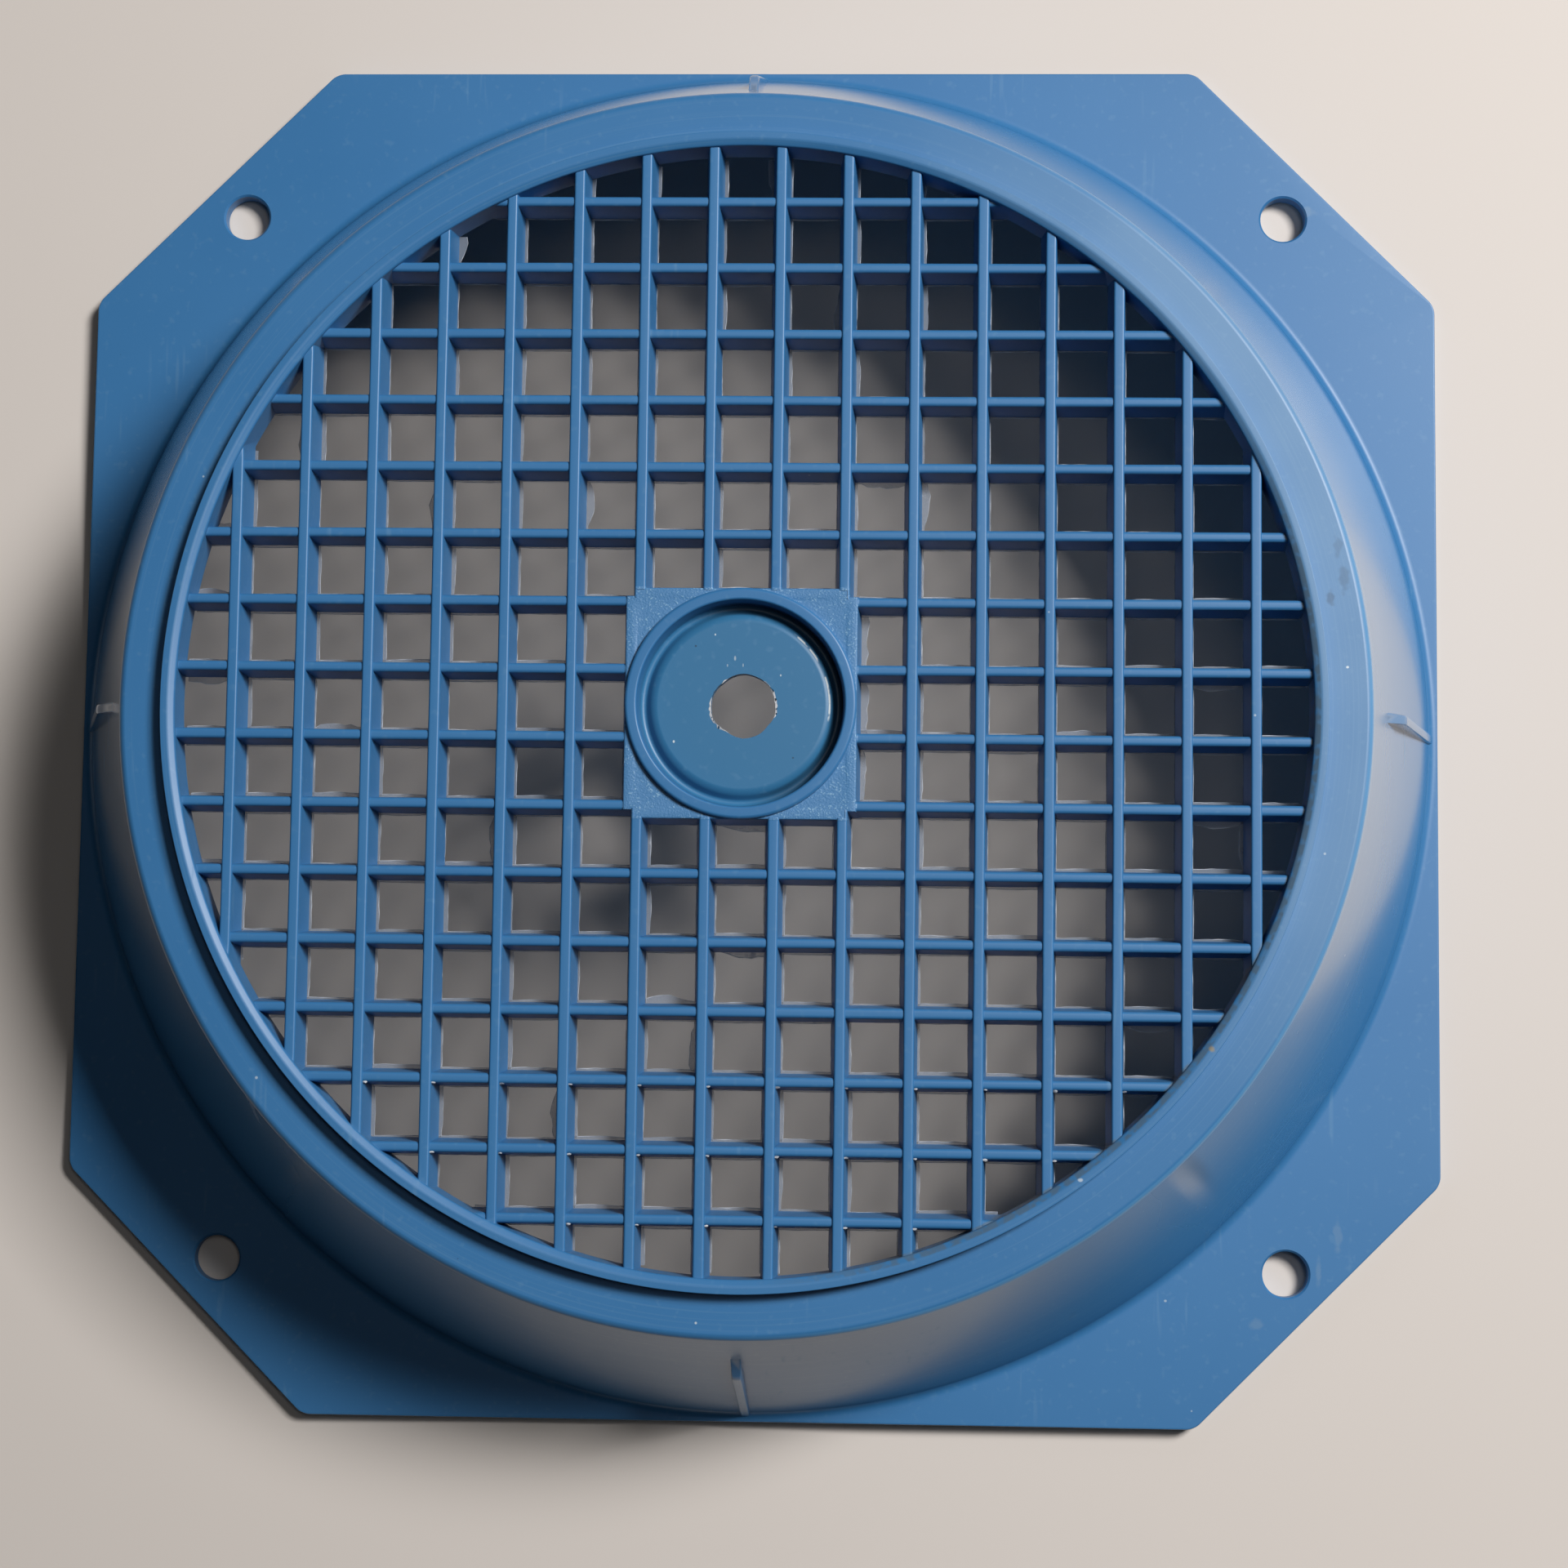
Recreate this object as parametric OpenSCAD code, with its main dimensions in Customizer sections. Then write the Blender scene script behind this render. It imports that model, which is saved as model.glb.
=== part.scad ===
// Motor fan cover: one moulded piece that lies on its flange, with the grille on top.
// The flange's underside is z = 0 and the dome's axis is the Z axis. Sizes are in millimetres.

/* [Grille] */
// Distance between the centre lines of neighbouring bars
bar_pitch = 10; // [8:0.5:12]
// Number of bars each way
bar_count = 16; // [10:2:18]
// Width of a bar across its top
bar_top_w = 1.55; // [1:0.05:2.5]
// Depth of the grille from its top to its underside
bar_depth = 5.5; // [4.8:0.1:7]
// Draft of a bar's sides from the vertical, in degrees
bar_draft = 5.5; // [0:0.5:7]
// Bevel on the upper edges of a bar
bar_bevel = 0.25; // [0.1:0.05:0.4]
// Drop of the cross bars' tops below the tops of the long bars
cross_drop = 0.3; // [0.1:0.05:0.8]

/* [Collar] */
// Clear distance from the centre line of the last bar to the collar's inside
collar_gap = 8.3; // [6:0.1:9.5]
// Width of the collar, inside to outside
collar_w = 2.1; // [1.6:0.1:4]
// Height of the collar's top above the grille
collar_rise = 0.9; // [0.5:0.1:2]
// Bevel round the collar's inner edge
collar_bevel = 1; // [0.4:0.1:1.4]

/* [Dome] */
// Height of the grille's top above the flange
dome_h = 42.4; // [30:0.1:60]
// Depth of the flat ring face below the grille's top
ring_drop = 1.8; // [1:0.1:3.5]
// Width of the flat ring face outside the collar
ring_w = 6.6; // [5:0.05:12]
// How far the sloping wall spreads between the ring face and the flange
wall_run = 15.35; // [6:0.05:24]
// Thickness of the wall
wall_t = 2.6; // [2:0.1:3.6]
// Rounding between the ring face and the wall
shoulder_r = 1; // [0.5:0.1:1.2]
// Fillet between the wall and the flange
toe_r = 1.5; // [0.5:0.1:3]

/* [Flange] */
// Thickness of the flange
flange_t = 3; // [2:0.1:5]
// Room between the fillet's toe and the middle of a flange side
flange_margin = 0.35; // [0.2:0.05:4]
// Length that the corner cut takes off each side
corner_cut = 38.5; // [30:0.5:46]
// Rounding of the flange's outline corners
corner_r = 3; // [1:0.5:8]
// Diameter of a fixing hole
hole_d = 7.2; // [4:0.1:9]
// Distance from a fixing hole's centre to the corner cut
hole_edge = 7.1; // [5.5:0.1:9]

/* [Centre cup] */
// Diameter of the cup's mouth
mouth_d = 30.5; // [26:0.1:32]
// Width of the rim round the mouth
rim_w = 1.75; // [1:0.05:2.5]
// Height of the rim above the grille
rim_rise = 0.7; // [0.3:0.1:2]
// Depth of the cup's floor below the rim
cup_depth = 2.7; // [2:0.1:3.4]
// Thickness of the cup's floor
cup_floor_t = 2; // [1.6:0.1:2.6]
// Thickness of the cup's wall below the floor
cup_wall_t = 2.6; // [2:0.1:4]
// Draft of the cup's inner wall from the vertical, in degrees
cup_draft = 6; // [0:0.5:10]
// Width of the groove between the floor's edge and the wall
groove_w = 1.45; // [1:0.05:2.5]
// Depth of the groove below the floor
groove_depth = 1; // [0.4:0.1:1.2]
// Fillet between the groove and the wall
groove_fillet = 0.5; // [0.2:0.1:0.8]
// Bevel on the rim's edges
rim_bevel = 0.3; // [0.1:0.05:0.5]
// Diameter of the hole in the cup's floor
centre_hole_d = 9.9; // [6:0.1:14]
// Drop of the plate round the cup below the grille's top
plate_drop = 0.1; // [0.1:0.1:1]
// Overhang of the plate past the centre lines of the bars beside it
plate_over = 2; // [1.2:0.1:3.5]

/* [Gussets] */
// Width of a gusset
gusset_w = 1.5; // [1:0.1:4]
// Height of a gusset's top above the flange, where it meets the wall
gusset_h = 30.5; // [16:0.5:32]
// How far a gusset's shoulder stands out from the wall
gusset_out = 2.2; // [1:0.1:4]
// Drop from a gusset's top to its shoulder
gusset_fall = 3; // [1:0.1:6]

/* [Hidden] */
$fn = 96;
// Overlap that joins touching solids
join = 0.6;
// Steps in the arc of a rounding or fillet that is revolved
arc_steps = 8;

// Heights above the flange's underside
grille_top = flange_t + dome_h;
grille_under = grille_top - bar_depth;
ring_top = grille_top - ring_drop;
collar_top = grille_top + collar_rise;
rim_top = grille_top + rim_rise;
cup_floor = rim_top - cup_depth;
cup_under = cup_floor - cup_floor_t;
groove_floor = cup_floor - groove_depth;

// Radii of the revolved body
collar_in_r = (bar_count - 1) / 2 * bar_pitch + collar_gap;
collar_out_r = collar_in_r + collar_w;
shoulder_at = collar_out_r + ring_w;
base_r = shoulder_at + wall_run;

// The wall's slope: its angle with the ring face, its lean from the vertical and two tangent lengths
wall_h = ring_top - flange_t;
wall_len = norm([wall_run, wall_h]);
wall_angle = acos(-wall_run / wall_len);
wall_lean = wall_angle - 90;
shoulder_cut = shoulder_r / tan(wall_angle / 2);
toe_cut = toe_r / tan(wall_angle / 2);
wall_across = wall_t * wall_len / wall_h;

// The flange's outline
half_w = base_r + toe_cut + flange_margin;
hole_at = half_w - corner_cut / 2 - hole_edge / sqrt(2);

// The plate round the cup spans four bars, and the middle of each side reaches past the last of them
plate_span = 3 * bar_pitch;
plate_core = plate_span + bar_top_w;
plate_reach = plate_span + 2 * plate_over;

// The cup's rim, and the middle of its wall, where the bars and the plate end inside it
mouth_r = mouth_d / 2;
rim_r = mouth_r + rim_w;
rim_middle_r = mouth_r + rim_w / 2;

function wall_r(z) = base_r + (flange_t - z) * wall_run / wall_h;

// Points along an arc, its two ends included
function arc(centre, r, from, to) = [
    for (i = [0:arc_steps])
        let (a = from + (to - from) * i / arc_steps)
            centre + r * [cos(a), sin(a)]
];

// Outline of a flange with cut corners, each rounded by a true arc
module flange_outline() {
    turn = 45;
    cut = corner_r * tan(turn / 2);
    inner = half_w - corner_r;
    long_end = half_w - corner_cut;
    for (side = [0:3])
        rotate(90 * side)
            for (way = [-1, 1])
                translate([inner, way * (long_end - cut)])
                    circle(r = corner_r);
    polygon([
        for (side = [0:3])
            for (p = [
                [half_w, -long_end + cut],
                [half_w, long_end - cut],
                [half_w - cut / sqrt(2), long_end + cut / sqrt(2)],
                [long_end + cut / sqrt(2), half_w - cut / sqrt(2)]
            ])
                [p[0] * cos(90 * side) - p[1] * sin(90 * side), p[0] * sin(90 * side) + p[1] * cos(90 * side)]
    ]);
}

module flange() {
    difference() {
        linear_extrude(flange_t)
            difference() {
                flange_outline();
                circle(r = base_r - join);
            }
        for (x = [-1, 1])
            for (y = [-1, 1])
                translate([x * hole_at, y * hole_at, -join])
                    cylinder(d = hole_d, h = flange_t + 2 * join);
    }
}

// Half section of the wall, the ring face and the collar
module shell_section() {
    shoulder = [shoulder_at - shoulder_cut, ring_top - shoulder_r];
    toe = [base_r + toe_cut, flange_t + toe_r];
    polygon(concat(
        [
            [collar_in_r, grille_under],
            [collar_in_r, collar_top - collar_bevel],
            [collar_in_r + collar_bevel, collar_top],
            [collar_out_r, collar_top],
            [collar_out_r, ring_top]
        ],
        arc(shoulder, shoulder_r, 90, wall_lean),
        arc(toe, toe_r, 180 + wall_lean, 270),
        [
            [base_r + toe_cut, 0],
            [wall_r(0) - wall_across, 0],
            [wall_r(grille_under) - wall_across, grille_under]
        ]
    ));
}

module gusset() {
    top = flange_t + gusset_h;
    fall_to = top - gusset_fall;
    rotate([90, 0, 0])
        linear_extrude(gusset_w, center = true)
            polygon([
                [wall_r(top) - join, top],
                [wall_r(top), top],
                [wall_r(fall_to) + gusset_out, fall_to],
                [base_r + toe_cut / 2, flange_t],
                [base_r - join, flange_t]
            ]);
}

// Straight drafted slab with its length along Y: a bar of the grille, or a side pair of the plate
module slab(top_w, top, length) {
    half_top = top_w / 2;
    half_under = half_top + (top - grille_under) * tan(bar_draft);
    side_at = half_top + bar_bevel * tan(bar_draft);
    rotate([90, 0, 0])
        linear_extrude(length, center = true)
            polygon([
                [-half_under, grille_under],
                [half_under, grille_under],
                [side_at, top - bar_bevel],
                [half_top - bar_bevel, top],
                [bar_bevel - half_top, top],
                [-side_at, top - bar_bevel]
            ]);
}

module bar_set(top) {
    for (i = [0:bar_count - 1])
        translate([(i - (bar_count - 1) / 2) * bar_pitch, 0, 0])
            slab(bar_top_w, top, 2 * (collar_in_r + join));
}

module grille() {
    difference() {
        intersection() {
            union() {
                bar_set(grille_top);
                rotate(90)
                    bar_set(grille_top - cross_drop);
            }
            cylinder(r = collar_in_r + join, h = collar_top);
        }
        cylinder(r = rim_middle_r, h = collar_top);
    }
}

// The square plate with notched corners that carries the cup, its sides drafted like the bars
module centre_plate() {
    top = grille_top - plate_drop;
    length = plate_reach + bar_pitch;
    difference() {
        for (turn = [0, 90])
            rotate(turn)
                intersection() {
                    slab(plate_reach, top, length);
                    rotate(90)
                        slab(plate_core, top, length);
                }
        cylinder(r = rim_middle_r, h = collar_top);
    }
}

// The round cup: a rim above the plate, a drafted wall, and a floor with a groove round it and a hole
module cup() {
    foot_r = mouth_r - (rim_top - groove_floor) * tan(cup_draft);
    floor_r = foot_r - groove_w;
    under_r = rim_r - cup_wall_t;
    fillet_cut = groove_fillet / tan(45 + cup_draft / 2);
    fillet = [foot_r - fillet_cut, groove_floor + groove_fillet];
    rotate_extrude()
        polygon(concat(
            [
                [centre_hole_d / 2, cup_under],
                [under_r, cup_under],
                [under_r, grille_under],
                [rim_r, grille_under],
                [rim_r, rim_top - rim_bevel],
                [rim_r - rim_bevel, rim_top],
                [mouth_r + rim_bevel, rim_top],
                [mouth_r - rim_bevel * tan(cup_draft), rim_top - rim_bevel]
            ],
            arc(fillet, groove_fillet, -cup_draft, -90),
            [
                [floor_r, groove_floor],
                [floor_r, cup_floor],
                [centre_hole_d / 2, cup_floor]
            ]
        ));
}

module fan_cover() {
    color("steelblue")
        union() {
            rotate_extrude()
                shell_section();
            flange();
            for (side = [0:3])
                rotate(90 * side)
                    gusset();
            grille();
            centre_plate();
            cup();
        }
}

fan_cover();
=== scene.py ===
"""Dresses the motor fan cover: one blue moulding with its mould flash, on a plain pale floor."""

import logging
import math
from collections.abc import Iterator, Sequence
from dataclasses import dataclass
from enum import Enum

import bmesh
import bpy
from mathutils import Euler, Matrix, Vector, noise


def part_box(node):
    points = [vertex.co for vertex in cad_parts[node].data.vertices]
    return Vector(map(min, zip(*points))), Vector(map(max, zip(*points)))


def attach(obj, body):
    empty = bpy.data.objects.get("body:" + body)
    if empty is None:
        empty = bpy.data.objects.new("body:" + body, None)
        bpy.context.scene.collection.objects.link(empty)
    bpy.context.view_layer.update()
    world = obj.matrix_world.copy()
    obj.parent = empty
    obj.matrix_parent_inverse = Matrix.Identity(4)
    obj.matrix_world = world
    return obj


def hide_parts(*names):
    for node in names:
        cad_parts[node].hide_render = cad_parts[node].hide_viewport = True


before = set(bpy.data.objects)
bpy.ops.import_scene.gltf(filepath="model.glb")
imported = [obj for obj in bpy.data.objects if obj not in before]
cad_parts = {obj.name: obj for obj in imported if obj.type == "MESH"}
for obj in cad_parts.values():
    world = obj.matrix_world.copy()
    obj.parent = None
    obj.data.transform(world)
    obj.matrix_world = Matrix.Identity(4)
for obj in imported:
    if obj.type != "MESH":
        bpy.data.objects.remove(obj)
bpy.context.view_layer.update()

NODE = "fan_cover"
BODY = "root"
MM = 0.001

# Mesh layer that marks the free edges of thin pieces
RIM = "rim"
# Least Z of the normal of a face that counts as level
LEVEL = 0.99
# Number of strips in the rounding of an edge
EDGE_STEPS = 2
# Middle of the values that noise textures give
NOISE_MEAN = 0.5

log = logging.getLogger(NODE)

Range = tuple[float, float]
Triple = tuple[float, float, float]
Colour = Triple
Mesh = bmesh.types.BMesh
MeshVert = bmesh.types.BMVert
MeshEdge = bmesh.types.BMEdge
SceneObject = bpy.types.Object
Material = bpy.types.Material
Node = bpy.types.Node
Socket = bpy.types.NodeSocket
Sockets = dict[str, Socket]


@dataclass(frozen=True)
class CoverSizes:
    """Sizes of the cover in millimetres, as in the solid. The frame gives half width and height."""

    half_w: float
    height: float
    bar_pitch: float = 10.0
    bar_count: int = 16
    bar_top_w: float = 1.55
    bar_depth: float = 5.5
    bar_draft: float = 5.5
    cross_drop: float = 0.3
    collar_gap: float = 8.3
    collar_w: float = 2.1
    collar_rise: float = 0.9
    collar_bevel: float = 1.0
    ring_drop: float = 1.8
    ring_w: float = 6.6
    wall_run: float = 15.35
    wall_t: float = 2.6
    flange_t: float = 3.0
    corner_cut: float = 38.5
    corner_r: float = 3.0
    hole_d: float = 7.2
    hole_edge: float = 7.1
    mouth_d: float = 30.5
    rim_w: float = 1.75
    rim_rise: float = 0.7
    cup_depth: float = 2.7
    cup_floor_t: float = 2.0
    cup_wall_t: float = 2.6
    cup_draft: float = 6.0
    groove_w: float = 1.45
    groove_depth: float = 1.0
    groove_fillet: float = 0.5
    plate_cells: int = 3
    plate_drop: float = 0.1
    plate_over: float = 2.0
    gusset_w: float = 1.5
    gusset_h: float = 30.5
    gusset_out: float = 2.2
    gusset_fall: float = 3.0
    join: float = 0.6

    @classmethod
    def from_frame(cls) -> "CoverSizes":
        """Read the half width and the height from the frame's box.

        Returns:
            The sizes in millimetres.
        """
        low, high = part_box(NODE)
        return cls(half_w=(high.x - low.x) / 2 / MM, height=(high.z - low.z) / MM)

    @property
    def grille_top(self) -> float:
        """Height of the long bars' tops."""
        return self.height - self.collar_rise

    @property
    def grille_under(self) -> float:
        """Height of the grille's underside."""
        return self.grille_top - self.bar_depth

    @property
    def cross_top(self) -> float:
        """Height of the cross bars' tops."""
        return self.grille_top - self.cross_drop

    @property
    def ring_top(self) -> float:
        """Height of the flat ring face outside the collar."""
        return self.grille_top - self.ring_drop

    @property
    def rim_top(self) -> float:
        """Height of the cup's rim."""
        return self.grille_top + self.rim_rise

    @property
    def cup_floor(self) -> float:
        """Height of the cup's floor."""
        return self.rim_top - self.cup_depth

    @property
    def cup_under(self) -> float:
        """Height of the cup floor's underside."""
        return self.cup_floor - self.cup_floor_t

    @property
    def groove_floor(self) -> float:
        """Height of the groove round the cup's floor."""
        return self.cup_floor - self.groove_depth

    @property
    def floor_r(self) -> float:
        """Radius of the cup's floor, inside the groove."""
        lean = math.tan(math.radians(self.cup_draft))
        return self.mouth_r - (self.rim_top - self.groove_floor) * lean - self.groove_w

    @property
    def plate_top(self) -> float:
        """Height of the square plate round the cup."""
        return self.grille_top - self.plate_drop

    @property
    def collar_in_r(self) -> float:
        """Radius of the collar's inside."""
        return (self.bar_count - 1) / 2 * self.bar_pitch + self.collar_gap

    @property
    def collar_out_r(self) -> float:
        """Radius of the collar's outside."""
        return self.collar_in_r + self.collar_w

    @property
    def shoulder_at(self) -> float:
        """Radius of the edge between the ring face and the wall."""
        return self.collar_out_r + self.ring_w

    @property
    def base_r(self) -> float:
        """Radius at which the wall meets the flange's top."""
        return self.shoulder_at + self.wall_run

    @property
    def wall_slope(self) -> float:
        """Spread of the wall for each millimetre of height."""
        return self.wall_run / (self.ring_top - self.flange_t)

    @property
    def mouth_r(self) -> float:
        """Radius of the cup's mouth."""
        return self.mouth_d / 2

    @property
    def rim_r(self) -> float:
        """Outside radius of the cup's rim."""
        return self.mouth_r + self.rim_w

    @property
    def rim_middle_r(self) -> float:
        """Radius at which the bars and the plate end inside the rim."""
        return self.mouth_r + self.rim_w / 2

    @property
    def plate_half(self) -> float:
        """Half the distance between the bars that run into two sides of the plate."""
        return self.plate_cells / 2 * self.bar_pitch

    @property
    def plate_core(self) -> float:
        """Half width of the plate at its notched corners."""
        return self.plate_half + self.bar_top_w / 2

    @property
    def plate_reach(self) -> float:
        """Half width of the plate at the middle of its sides."""
        return self.plate_half + self.plate_over

    @property
    def hole_at(self) -> float:
        """Distance of each fixing hole from the axis, along X and along Y."""
        return self.half_w - self.corner_cut / 2 - self.hole_edge / math.sqrt(2)

    def wall_r(self, z: float) -> float:
        """Radius of the wall's outside at height z."""
        return self.base_r + (self.flange_t - z) * self.wall_slope

    def wall_in_r(self, z: float) -> float:
        """Radius of the wall's inside at height z."""
        return self.wall_r(z) - self.wall_t * math.hypot(1, self.wall_slope)

    def bar_at(self, index: int) -> float:
        """Place of a bar's centre line, counted from the lowest."""
        return (index - (self.bar_count - 1) / 2) * self.bar_pitch

    def under_half(self, top_w: float, top: float) -> float:
        """Half width of a drafted bar or plate at the grille's underside."""
        return top_w / 2 + (top - self.grille_under) * math.tan(math.radians(self.bar_draft))


class Join(Enum):
    """Ways to combine two solids."""

    UNION = "UNION"
    CUT = "DIFFERENCE"
    KEEP_INSIDE = "INTERSECT"


class Rounded(Enum):
    """What a rounding works on: corners of a flat outline or edges of a solid."""

    CORNERS = "VERTICES"
    EDGES = "EDGES"


@dataclass(frozen=True)
class Corner:
    """One corner of a section in the XZ plane, with the length its rounding takes from each side."""

    across: float
    up: float
    rounding: float = 0.0
    segments: int = 3


def section_face(corners: Sequence[Corner]) -> Mesh:
    """Draw a section in the XZ plane and round its corners.

    Args:
        corners: The section's corners in order.

    Returns:
        A bmesh that holds one face.
    """
    bm = bmesh.new()
    verts = [bm.verts.new((corner.across, 0.0, corner.up)) for corner in corners]
    bm.faces.new(verts)
    for vert, corner in zip(verts, corners):
        if corner.rounding:
            round_off(bm, [vert], corner.rounding, corner.segments, Rounded.CORNERS)
    return bm


def round_off(
    bm: Mesh, geom: list[MeshVert] | list[MeshEdge], size: float, segments: int, what: Rounded
) -> None:
    """Round corners or edges of a mesh.

    Args:
        bm: The mesh that holds them.
        geom: The corners or the edges.
        size: Length that the rounding takes from each side.
        segments: Number of straight pieces in the rounding.
        what: Whether geom holds corners or edges.
    """
    bmesh.ops.bevel(
        bm,
        geom=geom,
        offset=size,
        offset_type="OFFSET",
        segments=segments,
        profile=0.5,
        affect=what.value,
        material=-1,
    )


def spun(corners: Sequence[Corner], steps: int) -> Mesh:
    """Spin a section round the Z axis into a closed ring.

    Args:
        corners: The section's corners in order, all off the axis.
        steps: Number of steps in the full turn.

    Returns:
        The ring's mesh.
    """
    bm = section_face(corners)
    bmesh.ops.delete(bm, geom=bm.faces[:], context="FACES_ONLY")
    bmesh.ops.spin(
        bm,
        geom=bm.verts[:] + bm.edges[:],
        cent=(0, 0, 0),
        axis=(0, 0, 1),
        angle=2 * math.pi,
        steps=steps,
        use_merge=True,
    )
    return bm


def raise_faces(bm: Mesh, step: Vector) -> list[MeshVert]:
    """Extrude every face of an open sheet into a solid.

    Args:
        bm: The mesh that holds the sheet.
        step: How far the far side lies from the sheet.

    Returns:
        The far side's corners.
    """
    made = bmesh.ops.extrude_face_region(bm, geom=bm.faces[:])
    far = [item for item in made["geom"] if isinstance(item, MeshVert)]
    bmesh.ops.translate(bm, verts=far, vec=step)
    return far


def bridge(bm: Mesh, near: Sequence[MeshVert], far: Sequence[MeshVert]) -> None:
    """Add a strip of faces between two lines of corners.

    Args:
        bm: The mesh that takes the faces.
        near: Corners of the first line.
        far: As many corners of the second line.
    """
    for index in range(len(near) - 1):
        bm.faces.new((near[index], near[index + 1], far[index + 1], far[index]))


def disc(radius: float, low: float, high: float, steps: int = 192) -> Mesh:
    """Make a plain round block about the Z axis.

    Args:
        radius: Its radius.
        low: Height of its underside.
        high: Height of its top.
        steps: Number of sides.

    Returns:
        The block's mesh.
    """
    bm = bmesh.new()
    place = Matrix.Translation((0, 0, (low + high) / 2))
    bmesh.ops.create_cone(
        bm, cap_ends=True, segments=steps, radius1=radius, radius2=radius, depth=high - low, matrix=place
    )
    return bm


def to_object(name: str, bm: Mesh) -> SceneObject:
    """Turn a mesh into a linked object with its faces pointing outwards.

    Args:
        name: The object's name.
        bm: The mesh, which is freed.

    Returns:
        The object.
    """
    bmesh.ops.recalc_face_normals(bm, faces=bm.faces[:])
    mesh = bpy.data.meshes.new(name)
    bm.to_mesh(mesh)
    bm.free()
    piece = bpy.data.objects.new(name, mesh)
    bpy.context.scene.collection.objects.link(piece)
    return piece


def combine(base: SceneObject, tool: SceneObject, join: Join) -> SceneObject:
    """Combine two solids into the first and delete the second.

    Args:
        base: The solid that takes the result.
        tool: The other solid.
        join: How they combine.

    Returns:
        The first solid.
    """
    modifier = base.modifiers.new(join.name, "BOOLEAN")
    modifier.operation = join.value
    modifier.solver = "MANIFOLD"
    modifier.object = tool
    graph = bpy.context.evaluated_depsgraph_get()
    old, result = base.data, bpy.data.meshes.new_from_object(base.evaluated_get(graph))
    base.modifiers.clear()
    base.data = result
    spent = tool.data
    bpy.data.objects.remove(tool)
    bpy.data.meshes.remove(spent)
    bpy.data.meshes.remove(old)
    return base


def clear_cup(piece: SceneObject, sizes: CoverSizes) -> SceneObject:
    """Cut the room of the cup out of a piece, as far as the middle of its rim.

    Args:
        piece: The piece.
        sizes: The cover's sizes.

    Returns:
        The same piece.
    """
    room = to_object("cup_room", disc(sizes.rim_middle_r, 0.0, sizes.height))
    return combine(piece, room, Join.CUT)


def to_metres(piece: SceneObject, crease_deg: float) -> None:
    """Scale a finished mesh from millimetres to metres and shade it smooth up to a crease.

    Args:
        piece: The object, which stays at the origin.
        crease_deg: Edges that turn by more than this stay sharp.
    """
    piece.data.transform(Matrix.Scale(MM, 4))
    piece.data.shade_smooth()
    piece.data.set_sharp_from_angle(angle=math.radians(crease_deg))
    weighted = piece.modifiers.new("weighted_normals", "WEIGHTED_NORMAL")
    weighted.keep_sharp = True


@dataclass(frozen=True)
class Dome:
    """The hollow dome: collar, ring face, sloping wall and the gussets on the wall."""

    sizes: CoverSizes
    steps: int = 240
    collar_round: float = 0.25
    bevel_fall: float = 0.55
    shoulder_round: float = 0.8
    toe_round: float = 1.0
    inner_round: float = 0.8
    gusset_round: float = 0.35
    round_steps: int = 5

    def shell(self) -> SceneObject:
        """Spin the wall's section, with the root of the flange.

        Returns:
            The shell.
        """
        s = self.sizes
        root_r = s.base_r + self.toe_round
        section = (
            Corner(s.collar_in_r, s.grille_under),
            Corner(s.collar_in_r, s.height - self.bevel_fall, self.collar_round),
            Corner(s.collar_in_r + s.collar_bevel, s.height, self.collar_round),
            Corner(s.collar_out_r, s.height, self.collar_round / 2),
            Corner(s.collar_out_r, s.ring_top, self.collar_round),
            Corner(s.shoulder_at, s.ring_top, self.shoulder_round, self.round_steps),
            Corner(s.base_r, s.flange_t, self.toe_round, self.round_steps),
            Corner(root_r + s.join / 2, s.flange_t),
            Corner(root_r + s.join / 2, 0.0),
            Corner(s.wall_in_r(0.0), 0.0),
            Corner(s.wall_in_r(s.grille_under), s.grille_under, self.inner_round),
        )
        return to_object("shell", spun(section, self.steps))

    def gusset(self, turn: int) -> SceneObject:
        """Make the thin rib on one side of the wall.

        Args:
            turn: Number of quarter turns from the +X side.

        Returns:
            The rib.
        """
        s = self.sizes
        top = s.flange_t + s.gusset_h
        fall = top - s.gusset_fall
        bm = section_face((
            Corner(s.wall_r(top) - s.join, top),
            Corner(s.wall_r(top), top),
            Corner(s.wall_r(fall) + s.gusset_out, fall, self.gusset_round * 2),
            Corner(s.base_r + self.toe_round / 2, s.flange_t),
            Corner(s.base_r - s.join, s.flange_t),
        ))
        far = raise_faces(bm, Vector((0, s.gusset_w, 0)))
        outer = [e for e in bm.edges if all(v.co.x > s.wall_r(v.co.z) for v in e.verts)]
        bmesh.ops.translate(bm, verts=bm.verts[:], vec=(0, -s.gusset_w / 2, 0))
        rims = [e for e in outer if len({v in far for v in e.verts}) == 1]
        round_off(bm, rims, self.gusset_round, EDGE_STEPS, Rounded.EDGES)
        spin = Matrix.Rotation(turn * math.pi / 2, 3, "Z")
        bmesh.ops.rotate(bm, verts=bm.verts[:], cent=(0, 0, 0), matrix=spin)
        return to_object("gusset", bm)

    def build(self) -> SceneObject:
        """Join the shell and its four gussets.

        Returns:
            The dome.
        """
        dome = self.shell()
        for turn in range(4):
            combine(dome, self.gusset(turn), Join.UNION)
        return dome


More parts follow.
